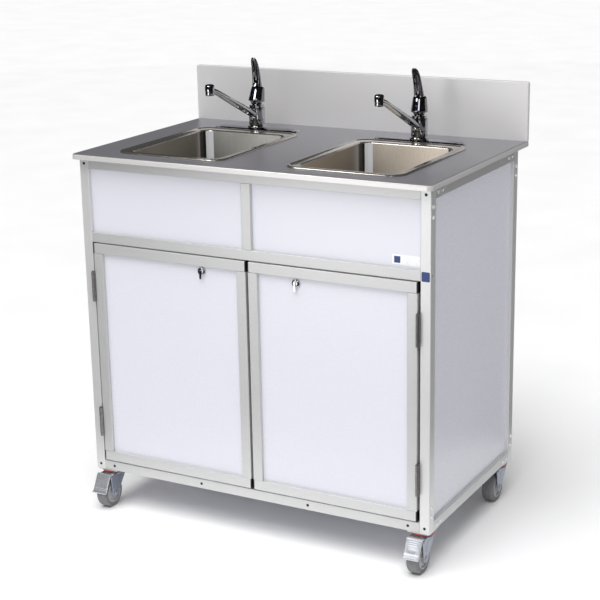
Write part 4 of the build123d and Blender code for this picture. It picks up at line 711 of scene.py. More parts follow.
# Half width and half height at the root, and how much less at the head.
ARM_ROOT = (11, 9.4)
ARM_TAPER = (3.2, 3.1)
ARM_BELLY = 0.05
RING_R = 21
HEAD_R = 11.5
HEAD_HEIGHT = 18
AERATOR_HEIGHT = 10


def spout_ring_span(side):
    """Bottom and top of the turning ring at the spout's root."""
    low = box(f"{side}_spout")[0].z
    return low, low + SPOUT_RING_HEIGHT


def add_spout_arm(shape, axis, low):
    """The tapered arm, rising from the turning ring to the head."""
    first_out, start_rise = ARM_START
    last_out = SPOUT_REACH - ARM_END_BEFORE_HEAD
    path = []
    rings = []
    for i in range(ARM_STEPS + 1):
        share = i / ARM_STEPS
        out = first_out + (last_out - first_out) * share
        droop = ARM_DROOP * max(0.0, out - (last_out - ARM_DROOP_LENGTH)) ** 2
        rise = start_rise + (out - RING_R) * math.tan(SPOUT_RISE) - droop
        path.append(Vector((axis.x, axis.y - out, low + rise)))
        belly = 1 + ARM_BELLY * math.sin(math.pi * share)
        half_sizes = [(root - less * share) * belly for root, less in zip(ARM_ROOT, ARM_TAPER)]
        rings.append(oval(*half_sizes, count=40))
    shape.sweep(path, lambda i: rings[i])


def make_spout(side):
    """The turning ring, the tapered arm and the round head with its aerator."""
    axis = middle_of(f"{side}_cartridge")
    low, high = spout_ring_span(side)
    top = box(f"{side}_spout")[1].z
    shape = Shape()
    ring = [
        (15.1, low), (20.3, low), (RING_R, low + 0.7), (RING_R, high - 0.7), (20.3, high),
        (15.1, high),
    ]
    shape.lathe(ring, upright(axis.x, axis.y), joined=True)
    add_spout_arm(shape, axis, low)
    joint = top - HEAD_HEIGHT
    head = [
        (4, joint), (HEAD_R - 1, joint), (HEAD_R, joint + 0.8), (HEAD_R, top - 5),
        (HEAD_R - 0.5, top - 3.2), (HEAD_R - 1.8, top - 1.5), (HEAD_R - 4, top - 0.5),
        (HEAD_R - 7.5, top), (0, top),
    ]
    outlet = joint - AERATOR_HEIGHT
    aerator = [
        (0, outlet + 2.6), (8, outlet + 2.6), (8.4, outlet + 0.3), (9.2, outlet),
        (10.4, outlet + 0.4), (10.9, outlet + 1.2), (10.9, joint - 1.2), (10.2, joint - 0.4),
        (9.6, joint - 0.3), (9.6, joint + 0.3), (0, joint + 0.3),
    ]
    tip = upright(axis.x, axis.y - SPOUT_REACH)
    shape.lathe(head, tip, 48)
    shape.lathe(aerator, tip, 48)
    shape.finish(f"{side}_spout_arm", f"{side}_spout_arm", ["chrome"], [f"{side}_spout"])


BALL_R = 17
BALL_STEPS = 24
NECK_R = 19
NECK_HEIGHT = 6.9
ROUNDED = 0.6
PIVOT_BELOW_BALL_TOP = 10


def make_cartridge(side):
    """The ball of the valve, with its neck ring."""
    node = f"{side}_cartridge"
    low, high = box(node)
    axis = middle_of(node)
    pivot = high.z - PIVOT_BELOW_BALL_TOP
    neck_top = low.z + NECK_HEIGHT
    profile = [
        (0, low.z), (NECK_R - ROUNDED, low.z), (NECK_R, low.z + ROUNDED),
        (NECK_R, neck_top - ROUNDED), (NECK_R - ROUNDED, neck_top),
    ]
    first = -math.asin((pivot - neck_top) / BALL_R)
    last = math.asin((high.z - pivot) / BALL_R)
    for i in range(BALL_STEPS + 1):
        angle = first + (last - first) * i / BALL_STEPS
        profile.append((BALL_R * math.cos(angle), pivot + BALL_R * math.sin(angle)))
    profile.append((0, high.z))
    shape = Shape()
    shape.lathe(profile, upright(axis.x, axis.y))
    shape.finish(f"{side}_valve_ball", f"{side}_valve", ["chrome"], [node])


LEVER_TILT_DEG = {"left": 10, "right": 0}
LEVER_COUNT = 48
LEVER_ROOT = 18
LEVER_TIP = 105.6
# The spoon's hollow: its depth as a share of the half thickness, and where along the lever it is.
HOLLOW = 0.94
HOLLOW_START = 0.1
HOLLOW_LENGTH = 0.86
LEVER_STATIONS = (
    # share of height, front, back and half width, from the faucet's axis
    (0.00, -10.5, 15.5, 13.4), (0.06, -11.2, 14.6, 13.4), (0.14, -12.2, 12.4, 13.0),
    (0.24, -13.2, 8.8, 12.4), (0.36, -14.6, 4.2, 11.8), (0.50, -16.8, -1.6, 11.3),
    (0.64, -19.6, -8.0, 10.9), (0.78, -23.3, -15.0, 10.4), (0.89, -27.4, -21.4, 9.3),
    (0.96, -30.2, -25.8, 7.2), (0.99, -31.4, -27.6, 4.6), (1.00, -31.2, -29.0, 1.8),
)
# The dome, as height over the pivot and radius; it leans back as it rises.
DOME_RINGS = (
    (-2.0, 17.6), (-4.0, 18.0), (-4.0, 20.3), (-3.2, 21.0), (2.0, 20.5), (12.0, 19.3),
    (22.0, 18.1), (29.0, 17.2), (32.0, 16.1), (33.6, 13.6), (34.0, 9.0), (34.0, 2.0),
)
DOME_FOOT = -4.0
DOME_LEAN = 3.5 / 38
DOT_HEIGHT = 12
DOT_OUT = 19.3
DOT_LEAN = math.radians(8)


def lever_place(side):
    """Where a lever's pivot is, tipped back by its rest angle."""
    axis = middle_of(f"{side}_cartridge")
    pivot_z = box(f"{side}_cartridge")[1].z - PIVOT_BELOW_BALL_TOP
    tilt = Matrix.Rotation(math.radians(-LEVER_TILT_DEG[side]), 4, "X")
    return Matrix.Translation((axis.x, axis.y, pivot_z)) @ tilt


def lever_ring(share, front, back, half_width):
    """One ring of the spoon-shaped lever, hollow at the front."""
    middle_y = (front + back) / 2
    half_y = (back - front) / 2
    along = min(max((share - HOLLOW_START) / HOLLOW_LENGTH, 0), 1)
    hollow = HOLLOW * math.sin(math.pi * along) ** 0.7
    height = LEVER_ROOT + (LEVER_TIP - LEVER_ROOT) * share
    ring = []
    for angle in turns(LEVER_COUNT):
        y = half_y * math.sin(angle)
        if y < 0:
            y += half_y * hollow * math.sin(angle) ** 6
        ring.append((half_width * math.cos(angle), middle_y + y, height))
    return ring


def make_handle(side):
    """The leaning dome with its spoon-shaped lever."""
    place = lever_place(side)
    dome = []
    for height, radius in DOME_RINGS:
        lean = Vector((0, (height - DOME_FOOT) * DOME_LEAN, height))
        dome.append([lean + Vector(point) for point in circle(radius, 0, LEVER_COUNT)])
    shape = Shape()
    shape.skin(dome, place)
    shape.skin([lever_ring(*station) for station in LEVER_STATIONS], place)
    name = f"{side}_lever_handle"
    # The handle is chrome with a painted dark reflection.
    shape.finish(name, f"{side}_lever", ["chrome_painted_dark_reflection"], [f"{side}_handle"], 50)


def make_temperature_dot(side):
    """The small blue dot, just proud of the dome's front."""
    facing = Vector((0, -math.cos(DOT_LEAN), math.sin(DOT_LEAN)))
    front = Vector((0, DOME_LEAN * (DOT_HEIGHT - DOME_FOOT) - DOT_OUT, DOT_HEIGHT))
    shape = Shape()
    place = lever_place(side) @ axes_at(front, facing)
    shape.lathe([(2.4, 0), (2.4, 0.3), (1.9, 0.6), (0, 0.75)], place, 24)
    shape.finish(f"{side}_temperature_dot", f"{side}_lever", ["blue_label"])


# ---------------------------------------------------------------- casters
WHEEL_PROFILE = (
    # radius, half width and the paint's number, from the bore out to the tread
    (4.4, 16.6, 1), (8.4, 17.0, 1), (9.0, 16.4, 1), (9.4, 11.8, 1), (12.4, 11.6, 1),
    (13.0, 12.8, 1), (15.2, 12.8, 1), (15.8, 11.6, 1), (21.8, 11.8, 1), (22.6, 14.9, 1),
    (23.4, 15.5, 1), (25.8, 15.5, 1), (26.4, 14.5, 1), (27.2, 14.4, 0), (27.8, 15.4, 0),
    (30.0, 15.5, 0), (30.5, 14.8, 0), (31.2, 14.8, 0), (31.8, 15.2, 0), (33.8, 14.6, 0),
    (35.6, 13.2, 0), (36.9, 11.2, 0), (37.4, 9.0, 0), (37.5, 5.5, 0),
)
JOIN_DISTANCE_M = 1e-6


def make_wheel(name):
    """A ringed hub in a grey tyre."""
    node = f"{name}_wheel"
    place = axes_at(middle_of(node), (1, 0, 0))
    outline = list(WHEEL_PROFILE)
    outline += [(r, -half, paint) for r, half, paint in reversed(WHEEL_PROFILE)]
    rings = [circle(r, height) for r, height, paint in outline]
    shape = Shape()
    for i in range(len(rings)):
        j = (i + 1) % len(rings)
        shape.paint = min(outline[i][2], outline[j][2])
        shape.skin([rings[i], rings[j]], place, close_start=False, close_end=False)
    materials = ["tread", "hub_plastic"]
    weld(shape.finish(f"{name}_tyre_and_hub", f"{name}_roller", materials, [node]))


def weld(piece):
    """Join the vertices that strips of a skin share."""
    edit = bmesh.new()
    edit.from_mesh(piece.data)
    bmesh.ops.remove_doubles(edit, verts=edit.verts, dist=JOIN_DISTANCE_M)
    bmesh.ops.recalc_face_normals(edit, faces=edit.faces)
    edit.to_mesh(piece.data)
    edit.free()
    smooth(piece.data)


LEG_THICK = 3
LEG_INSIDE = 17.5
LEG_OUTSIDE = LEG_INSIDE + LEG_THICK
LEG_TOP_HALF = 16
RIB_PROUD = 0.5
RIB_THICK = 0.9
TRAIL = 25
PIN_FORWARD = 39
PIN_HEIGHT = 84
CROWN_BOTTOM = 84.5
CROWN_TOP = 90.7
# The crown's foot, as rise, distance in from the legs' outsides, half depth and corner.
BRIDGE = ((0, 2.5, 20, 3), (1, 0.8, 21.4, 4), (2, 0.8, 21.4, 4), (3, 2.5, 20, 3))
AXLE_END = ((8.5, -0.2), (8.5, 0.5), (6.4, 0.7))
AXLE_HEX = ((6.4, 0), (6.4, 1.6), (5.6, 2.1), (0, 2.2))
PIN_HEAD = ((2.8, -0.2), (2.8, 1.2), (1.6, 2), (0, 2.1))
AXLE_R = 3.95
PIN_R = 1.95


def facing_x(x, sign=1):
    """A matrix that stands a 2-D outline of (y, z) points at x, thick along the X axis."""
    return Matrix(((0, 0, sign, x), (1, 0, 0, 0), (0, 1, 0, 0), (0, 0, 0, 1)))


def add_legs(shape, wheel, swivel_y, pin_y):
    """The two pressed legs with their raised ribs, and the heads of the axle bolt and the pin."""
    leg = hull_outline(
        [
            (wheel.y, wheel.z, 11), (pin_y, PIN_HEIGHT, 4),
            (swivel_y + LEG_TOP_HALF, CROWN_BOTTOM - 3, 5),
            (swivel_y - LEG_TOP_HALF, CROWN_BOTTOM - 3, 5),
        ]
    )
    rib = hull_outline(
        [
            (wheel.y + 2, wheel.z + 14, 4.5), (swivel_y + 8, CROWN_BOTTOM - 12, 5),
            (swivel_y - 14, CROWN_BOTTOM - 12, 5),
        ]
    )
    for sign in (-1, 1):
        inside = wheel.x + sign * LEG_INSIDE
        outside = wheel.x + sign * LEG_OUTSIDE
        shape.slab(leg, LEG_THICK, facing_x(inside, sign), 0.8)
        rib_place = facing_x(outside + sign * (RIB_PROUD - RIB_THICK), sign)
        shape.slab(rib, RIB_THICK, rib_place, RIB_THICK / 2)
        bolt = axes_at((outside, wheel.y, wheel.z), (sign, 0, 0))
        shape.lathe(AXLE_END, bolt, 40)
        shape.lathe(AXLE_HEX, bolt, 6)
        shape.lathe(PIN_HEAD, axes_at((outside, pin_y, PIN_HEIGHT), (sign, 0, 0)), 24)


def make_fork(name):
    """Two pressed legs under a round crown, with the axle bolt and the cross pin."""
    wheel = middle_of(f"{name}_wheel")
    swivel_y = wheel.y + TRAIL
    pin_y = swivel_y - PIN_FORWARD
    shape = Shape()
    add_legs(shape, wheel, swivel_y, pin_y)
    for y, z, radius, count in ((wheel.y, wheel.z, AXLE_R, 32), (pin_y, PIN_HEIGHT, PIN_R, 24)):
        across = axes_at((wheel.x - LEG_INSIDE, y, z), (1, 0, 0))
        shape.lathe([(radius, 0), (radius, 2 * LEG_INSIDE)], across, count)
    swivel = upright(wheel.x, swivel_y)
    bridge = [
        round_box(LEG_OUTSIDE - inward, half_y, corner, CROWN_BOTTOM + rise, 6, 2)
        for rise, inward, half_y, corner in BRIDGE
    ]
    shape.skin(bridge, swivel)
    crown = [
        (0, CROWN_BOTTOM), (26, CROWN_BOTTOM + 0.2), (26, CROWN_BOTTOM + 2.4),
        (25.2, CROWN_BOTTOM + 4), (23.4, CROWN_TOP - 0.6), (21, CROWN_TOP), (0, CROWN_TOP),
    ]
    shape.lathe(crown, swivel)
    node = f"{name}_fork"
    shape.finish(f"{name}_fork_shell", f"{name}_caster", ["fork_zinc"], [node])


PEDAL_HALF_WIDTH = 21
PEDAL_THICK = 2
PEDAL_STEP = 0.7
PEDAL_COLUMNS = 25
PEDAL_WAIST = 0.05
RIB_SHARES = (0.20, 0.28, 0.36)
RIB_WIDTH = 0.018
RIB_HEIGHT = 0.45
DISH_SHARES = (0.58,)
DISH_WIDTH = 0.1
DISH_DEPTH = 0.35
GROOVE_SHARES = (0.74, 0.82)
GROOVE_WIDTH = 0.014
GROOVE_DEPTH = 0.7
# Where the ribs fade out towards the plate's sides, and how the sides are rounded.
RELIEF_HALF = 0.62
EDGE_SHARE = 0.875
EDGE_ROUND = 32
BARREL_CLEAR = 0.5
BARREL_R = (2.2, 3.5)
NECK_HALF = (13, 1.7)
NECK_OVER_PIN = 2.6


def hills(share, places, width):
    """How much of a row of soft ridges there is at a share of the length."""
    return sum(math.exp(-(((share - at) / width) ** 2)) for at in places)


def pedal_ring(wheel_x, point, out, share):
    """A ring across the pedal's plate, at a point of its middle line."""
    waist = 1 - PEDAL_WAIST * math.sin(math.pi * share)
    relief = RIB_HEIGHT * hills(share, RIB_SHARES, RIB_WIDTH)
    relief -= DISH_DEPTH * hills(share, DISH_SHARES, DISH_WIDTH)
    groove = GROOVE_DEPTH * hills(share, GROOVE_SHARES, GROOVE_WIDTH)
    top = []
    bottom = []
    for j in range(PEDAL_COLUMNS):
        spread = 2 * j / (PEDAL_COLUMNS - 1) - 1
        x = wheel_x + spread * PEDAL_HALF_WIDTH * waist
        fade = max(0.0, 1 - (abs(spread) / RELIEF_HALF) ** 6)
        half = PEDAL_THICK / 2 - EDGE_ROUND * max(0.0, abs(spread) - EDGE_SHARE) ** 2
        top.append((x, *(point + out * (half - groove + relief * fade))))
        bottom.append((x, *(point - out * half)))
    return top + bottom[::-1]


def make_pedal(side):
    """The foot pedal: a bent plate with pressed ribs and a curled lip, on its barrel."""
    node = f"{side}_brake_pedal"
    low, high = box(node)
    wheel = middle_of(f"front_{side}_wheel")
    pin_y = wheel.y + TRAIL - PIN_FORWARD
    plate_z = high.z - PEDAL_THICK / 2
    lip_y = low.y + PEDAL_THICK / 2
    lip_z = low.z + PEDAL_THICK / 2
    bends = [
        (pin_y + 0.5, plate_z), (pin_y - 6, plate_z), (pin_y - 20, lip_z + 14),
        (pin_y - 27, lip_z + 0.5), (lip_y, lip_z),
    ]
    path = spaced(round_path(bends, 4, 8), PEDAL_STEP)
    last = len(path) - 1
    rings = []
    for i, point in enumerate(path):
        along = (path[min(i + 1, last)] - path[max(i - 1, 0)]).normalized()
        rings.append(pedal_ring(wheel.x, point, Vector((along.y, -along.x)), i / last))
    shape = Shape()
    shape.skin(rings)
    barrel = axes_at((wheel.x - LEG_INSIDE + BARREL_CLEAR, pin_y, PIN_HEIGHT), (1, 0, 0))
    length = 2 * (LEG_INSIDE - BARREL_CLEAR)
    bore, outer = BARREL_R
    shape.lathe([(bore, 0), (outer, 0), (outer, length), (bore, length)], barrel, 32, joined=True)
    half_x, half_y = NECK_HALF
    neck_z = PIN_HEIGHT + NECK_OVER_PIN
    outline = [
        (pin_y - half_y, neck_z), (pin_y + half_y, neck_z), (pin_y + half_y, plate_z),
        (pin_y - half_y, plate_z),
    ]
    shape.slab(outline, 2 * half_x, facing_x(wheel.x - half_x), 0.2)
    shape.finish(f"{side}_pedal_plate", f"{side}_brake", ["zinc"], [node])


# ---------------------------------------------------------------- locks, screws and labels
PANEL_THICK = 6
NUT_BEHIND_PANEL = 9.1
TAB_THICK = 1.8
CAM_THICK = 3
CAM_R = 7
KEYWAY = ((-0.7, -3.4), (0.7, -3.4), (0.7, 3.4), (-0.7, 3.4))
KEYWAY_PROUD = 0.12


def make_lock_bezel(side):
    """The domed bezel on the door, with its barrel and the nut behind the panel."""
    node = f"{side}_lock_housing"
    low, high = box(node)
    centre = middle_of(node)
    place = axes_at((centre.x, low.y, centre.z), (0, -1, 0))
    depth = high.y - low.y
    shape = Shape()
    bezel = [
        (5.6, 0), (6.4, 0), (7.2, -0.35), (8.6, -0.9), (9.8, -1.9), (10.5, -3.4),
        (10.5, -PANEL_THICK), (8, -PANEL_THICK), (8, -depth), (5.6, -depth),
    ]
    shape.lathe(bezel, place, joined=True)
    front = -PANEL_THICK - NUT_BEHIND_PANEL
    nut = [
        (8.1, front), (11.6, front), (12, front - 0.6), (12, front - 4.4), (11.6, front - 5),
        (8.1, front - 5),
    ]
    shape.lathe(nut, place, 6, joined=True)
    shape.finish(f"{side}_lock_bezel", f"{side}_door", ["chrome"], [node])


def make_lock_core(side):
    """The key plug with its hanging shutter and rear cam."""
    node = f"{side}_lock_plug"
    centre = middle_of(f"{side}_lock_housing")
    low, high = box(node)
    face = low.y + TAB_THICK
    place = axes_at((centre.x, face, centre.z), (0, -1, 0))
    stem = high.y - CAM_THICK - face
    plug = [(0, -stem), (5.4, -stem), (5.4, -0.5), (5.0, -0.05), (4.2, 0), (0, 0)]
    shape = Shape()
    shape.lathe(plug, place, 48)
    shape.paint = 1
    shape.slab(KEYWAY, KEYWAY_PROUD, place, 0.03)
    shape.paint = 0
    tab_low = low.z - centre.z
    tab = hull_outline([(0, 1.6, 2.4), (0, tab_low + 3, 3), (0, tab_low + 7, 2.8)])
    shape.slab(tab, TAB_THICK, place, 0.6)
    right = high.x - centre.x
    left = centre.x - low.x
    cam_x = right - CAM_R if right > left else CAM_R - left
    cam = hull_outline([(0, 0, CAM_R), (cam_x, 0, CAM_R)])
    shape.slab(cam, CAM_THICK, axes_at((centre.x, high.y, centre.z), (0, -1, 0)), 0.6)
    materials = ["chrome", "black_plastic"]
    shape.finish(f"{side}_lock_core", f"{side}_lock", materials, [node])


# A pan head's rings, as radius and height, and its cross recess, as reach, half width and height.
SCREW_RINGS = ((4.2, -0.3), (4.6, 0), (4.6, 0.9), (4.3, 1.6), (3.7, 2.1), (3.0, 2.35))
SCREW_CROSSES = ((2.6, 0.55, 2.38), (2.2, 0.35, 1.1))
# Where a bracket's screws are, from the outer corner of the frame.
RAIL_SCREWS = (38, 61.5)
POST_SCREWS = (40, 63.5)
SCREW_INSET = 11


def cross_ring(reach, half_width, height):
    """Points round a cross, six to each arm."""
    middle = (reach + half_width) / 2
    arm = [
        (middle, -half_width), (reach, -half_width), (reach, 0), (reach, half_width),
        (middle, half_width), (half_width, half_width),
    ]
    points = []
    for cos, sin in ((1, 0), (0, 1), (-1, 0), (0, -1)):
        points += [(x * cos - y * sin, x * sin + y * cos, height) for x, y in arm]
    return points


def screw_head_rings():
    """The rings of a pan head with a cross recess; the circles' points match the cross."""
    crosses = [cross_ring(*cross) for cross in SCREW_CROSSES]
    angles = [math.atan2(p[1], p[0]) for p in crosses[0]]
    rings = [
        [(radius * math.cos(a), radius * math.sin(a), height) for a in angles]
        for radius, height in SCREW_RINGS
    ]
    return rings + crosses


def make_side_screws():
    """The screws that hold the corner brackets, two in each leg, on both side faces."""
    low, high = box("frame_posts")
    places = [(reach, SCREW_INSET) for reach in RAIL_SCREWS]
    places += [(SCREW_INSET, reach) for reach in POST_SCREWS]
    rings = screw_head_rings()
    shape = Shape()
    for sign, face_x in ((-1, low.x), (1, high.x)):
        for y_end, toward_y in ((low.y, 1), (high.y, -1)):
            for z_end, toward_z in ((low.z, 1), (high.z, -1)):
                for along_y, along_z in places:
                    y = y_end + toward_y * along_y
                    z = z_end + toward_z * along_z
                    # The screws stop at various turns, as if driven by hand.
                    spin = math.sin(y * 9 + z * 7) * math.pi
                    place = axes_at((face_x, y, z), (sign, 0, 0)) @ Matrix.Rotation(spin, 4, "Z")
                    shape.skin(rings, place)
    # The heads are near-white, a painted highlight.
    shape.finish("side_screw_heads", "cabinet", ["screw_painted_highlight"], ["side_screws"])


LABEL_HALF = (34, 11.5)
LABEL_FROM_CORNER = (38, 17)
LABEL_THICK = 0.4
BADGE_HALF = (7.5, 7.5)
BADGE_LEFT = 21
STICKER_HALF = (9.8, 11)
STICKER_Z = 706.5
POST_HALF = 12.5


def plate(shape, centre_x, face_y, centre_z, half, corner, thick):
    """A thin upright plate with round corners, in front of a face."""
    place = axes_at((centre_x, face_y, centre_z), (0, -1, 0))
    levels = ((0, 0), (0, thick * 0.6), (thick * 0.4, thick))
    rings = [
        round_box(half[0] - inward, half[1] - inward, corner, height, 5, 2)
        for inward, height in levels
    ]
    shape.skin(rings, place)


def make_labels():
    """The blank label on the right upper panel and the plain sticker on the right post."""
    low, high = box("upper_panels")
    x = high.x - LABEL_FROM_CORNER[0]
    z = low.z + LABEL_FROM_CORNER[1]
    label = Shape()
    plate(label, x, low.y, z, LABEL_HALF, 3, LABEL_THICK)
    label.paint = 1
    plate(label, x - BADGE_LEFT, low.y - LABEL_THICK, z, BADGE_HALF, 1, 0.15)
    label.finish("blank_label", "cabinet", ["label_white", "blue_label"])
    low, high = box("frame_posts")
    sticker = Shape()
    plate(sticker, high.x - POST_HALF, low.y, STICKER_Z, STICKER_HALF, 2.2, 0.35)
    sticker.finish("plain_sticker", "cabinet", ["blue_label"])


# ---------------------------------------------------------------- tanks and caps
# Half sizes, height, and the middle's x and y.
TANKS = {"fresh": (135, 130, 360, -275, -70), "waste": (145, 145, 400, 265, -60)}
TANK_CORNER = 22
TANK_BANDS = 5
TANK_FOOT = ((6, 0), (2.2, 2), (0.5, 6), (0, 12))
BANDS_FROM = 34
BANDS_BELOW_TOP = 46
# One band of a tank's side, as depth and share of the band's pitch.
BAND = ((0, 0), (3.2, 0.18), (3.6, 0.3), (3.2, 0.42), (0, 0.6))
SHOULDER = 17
SHOULDER_STEPS = 8
NECK_THREADS = (3, 7.2, 11.4, 15.6)
# Place, radius and height of each spigot on a tank's top.
SPIGOTS = {"fresh": (), "waste": ((170, -38, 16, 20), (235, -38, 16, 20))}
BARB_PLACE = (-141, -100, 158)
BARB_RIDGES = (3, 6.5, 10)


def tank_levels(height):
    """The tank's steps, as distance in from its box and height over its floor."""
    levels = list(TANK_FOOT)
    pitch = (height - BANDS_BELOW_TOP - BANDS_FROM) / TANK_BANDS
    for i in range(TANK_BANDS):
        levels += [(depth, BANDS_FROM + (i + share) * pitch) for depth, share in BAND]
    levels.append((0, height - SHOULDER - 1))
    for i in range(1, SHOULDER_STEPS + 1):
        angle = math.pi / 2 * i / SHOULDER_STEPS
        inward = SHOULDER * (1 - math.cos(angle))
        levels.append((inward, height - SHOULDER + SHOULDER * math.sin(angle)))
    return levels


def add_barb(shape):
    """The ridged outlet on the fresh tank's side."""
    ridges = [(5, 0)]
    for start in BARB_RIDGES:
        ridges += [(4.3, start), (5, start + 0.4), (4.3, start + 3)]
    ridges += [(4.2, 14.6), (3, 15)]
    shape.lathe(ridges, axes_at(BARB_PLACE, (1, 0, 0)), 32)


def make_tank(name):
    """A blow-moulded tank with ribbed sides, round shoulders and a threaded neck."""
    node = f"{name}_tank"
    floor = box(node)[0].z
    cap = middle_of(f"{name}_cap")
    half_x, half_y, height, centre_x, centre_y = TANKS[name]
    top = floor + height
    rings = []
    for inward, rise in tank_levels(height):
        corner = max(TANK_CORNER - inward * 0.6, 6)
        rings.append(round_box(half_x - inward, half_y - inward, corner, floor + rise, 10, 6))
    shape = Shape()
    shape.skin(rings, upright(centre_x, centre_y))
    neck = [(28, top - 2), (30, top - 1)]
    for rise in NECK_THREADS:
        z = top + rise
        neck += [(29, z), (29.9, z + 1.4), (29, z + 2.8)]
    neck += [(28.6, top + 21.6), (27.4, top + 22), (27, top + 20), (27, top - 22)]
    shape.lathe(neck, upright(cap.x, cap.y))
    for x, y, radius, rise in SPIGOTS[name]:
        spigot = [
            (radius, top - 3), (radius, top + rise - 1.5), (radius - 1.2, top + rise),
            (radius - 4, top + rise), (radius - 4, top + 2),
        ]
        shape.lathe(spigot, upright(x, y), 40)
    if name == "fresh":
        add_barb(shape)
    shape.finish(f"{name}_tank_shell", "cabinet", [f"{name}_tank"], [node])


CAP_COUNT = 144
CAP_BORE = 30.4
CAP_SHARP = 28


def ribbed(outer, height, depth):
    """A circle with ribs, two points up and two points down."""
    ring = []
    for i, angle in enumerate(turns(CAP_COUNT)):
        radius = outer - depth * (i % 4 in (2, 3))
        ring.append((radius * math.cos(angle), radius * math.sin(angle), height))
    return ring


def make_cap(name):
    """A screw cap with gripping ribs round its side."""
    node = f"{name}_cap"
    low, high = box(node)
    centre = middle_of(node)
    radius = (high.x - low.x) / 2
    foot = ((CAP_BORE, 0), (radius - 1.6, 0), (radius - 1.2, 0.5))
    top = ((radius - 3, 0), (radius - 8, 0), (radius - 9, -1), (2, -1))
    rings = [circle(r, low.z + rise, CAP_COUNT) for r, rise in foot]
    rings += [
        ribbed(radius, low.z + 1.2, 1.1), ribbed(radius, high.z - 3.4, 1.1),
        ribbed(radius - 0.9, high.z - 1.4, 0.6),
    ]
    rings += [circle(r, high.z + rise, CAP_COUNT) for r, rise in top]
    place = upright(centre.x, centre.y)
    shape = Shape()
    shape.skin(rings, place, close_start=False)
    inside = [(CAP_BORE, low.z), (CAP_BORE, high.z - 3.6), (0, high.z - 3.6)]
    shape.lathe(inside, place, CAP_COUNT)
    body = f"{name}_tank_lid"
    shape.finish(f"{name}_screw_cap", body, ["cap_plastic"], [node], CAP_SHARP)


# ---------------------------------------------------------------- hoses
HOSE_GAP = 0.3
HOSE_SIDES = 24
ROUTE_FINENESS = 24
SUPPLY_R = 6
SUPPLY_STEP = 2
COLLAR_R = 6.9
COLLAR_RINGS = 9
BRAID_R = 5.4
BRAID_STRANDS = 12
STRAND_PITCH = math.tau * SUPPLY_R / BRAID_STRANDS
WRAP_SHARE = 0.9
DRAIN_HOSE_R = 11
DRAIN_STEP = 1.3
CUFF_R = 10.6
CUFF_RINGS = 14
RIB_DEPTHS = (0, 0.2, 1.5, 1.3)
CLAMP_R = 11.4
CLAMP_RINGS = (3, 9)
CLAMP_SCREW = ((3, -6), (3.4, -5), (3.4, 5), (3, 6))
# The drain hoses' way down from each tailpiece, as x, y and drop.
LEFT_DRAIN = (
    (-229, -38, 0), (-229, -38, 44), (-207, -40, 78), (-164, -42, 97), (-60, -46, 104),
    (50, -43, 108), (118, -39, 114), (154, -38, 127), (170, -38, 150),
)
RIGHT_DRAIN = ((229, -38, 0), (229, -38, 55), (235, -38, 112))
FAUCET_X = 229
FAUCET_Y = 192.5
HEATER_PORTS = ((-60, -1), (30, 1))


def centre_line(points):
    """The fine points of a smooth curve through a hose's route."""
    data = bpy.data.curves.new("route", "CURVE")
    data.dimensions = "3D"
    data.resolution_u = ROUTE_FINENESS
    spline = data.splines.new("NURBS")
    spline.points.add(len(points) - 1)
    for control, point in zip(spline.points, points):
        control.co = (*point, 1)
    spline.order_u = 3
    spline.use_endpoint_u = True
    curve = bpy.data.objects.new("route", data)
    mesh = bpy.data.meshes.new_from_object(curve)
    line = [vertex.co.copy() for vertex in mesh.vertices]
    bpy.data.meshes.remove(mesh)
    bpy.data.objects.remove(curve)
    bpy.data.curves.remove(data)
    return line


def hose_ring(radius):
    """A 2-D ring of a hose."""
    return oval(radius, radius, count=HOSE_SIDES)


def supply_routes():
    """The routes of the four supply hoses: tank to pump, pump to heater, heater to both faucets."""
    barb = box("fresh_tank")[1].x + HOSE_GAP
    low, high = box("pump")
    pump_left, pump_right = low.x - HOSE_GAP, high.x + HOSE_GAP
    low, high = box("water_heater")
    heater_front, heater_top = low.y - HOSE_GAP, high.z + HOSE_GAP
    shank = box("faucet_bodies")[0].z - HOSE_GAP
    routes = [
        [
            (barb, -100, 158), (barb + 18, -100, 158), (pump_left - 18, -132, 158),
            (pump_left, -132, 158),
        ],
        [
            (pump_right, -132, 158), (pump_right + 18, -132, 158), (pump_right + 33, -110, 158),
            (pump_right + 30, -57, 158), (55, -12, 158), (55, heater_front, 158),
        ],
    ]
    for port_x, sign in HEATER_PORTS:
        x = sign * FAUCET_X
        routes.append(
            [
                (port_x, 150, heater_top), (port_x, 150, heater_top + 80),
                (port_x + sign * 42, 170, heater_top + 180),
                (x - sign * 48, 188.5, heater_top + 255),
                (x, FAUCET_Y, heater_top + 325), (x, FAUCET_Y, shank),
            ]
        )
    return routes


def drain_routes():
    """The routes of the two drain hoses, from the bowls to the waste tank."""
    tailpiece = box("drain_fittings")[0].z - HOSE_GAP
    waste_inlet = box("drain_hoses")[0].z
    routes = []
    for way in (LEFT_DRAIN, RIGHT_DRAIN):
        route = [(x, y, tailpiece - drop) for x, y, drop in way]
        routes.append([*route, (*way[-1][:2], waste_inlet)])
    return routes


def wrap_braid(piece, rings_by_hose):
    """A map of strands round and along the braided stretches, which were made first."""
    layer = piece.data.uv_layers.new(name="braid")
    places = []
    for count in rings_by_hose:
        for ring in range(count):
            places += [(side / HOSE_SIDES, ring) for side in range(HOSE_SIDES)]
    for polygon in piece.data.polygons:
        if polygon.material_index != 0:
            continue
        wraps = any(places[v][0] > WRAP_SHARE for v in polygon.vertices)
        for loop, vertex in zip(polygon.loop_indices, polygon.vertices):
            around, ring = places[vertex]
            if wraps and around == 0:
                around = 1
            layer.data[loop].uv = (around * BRAID_STRANDS, ring * SUPPLY_STEP / STRAND_PITCH)


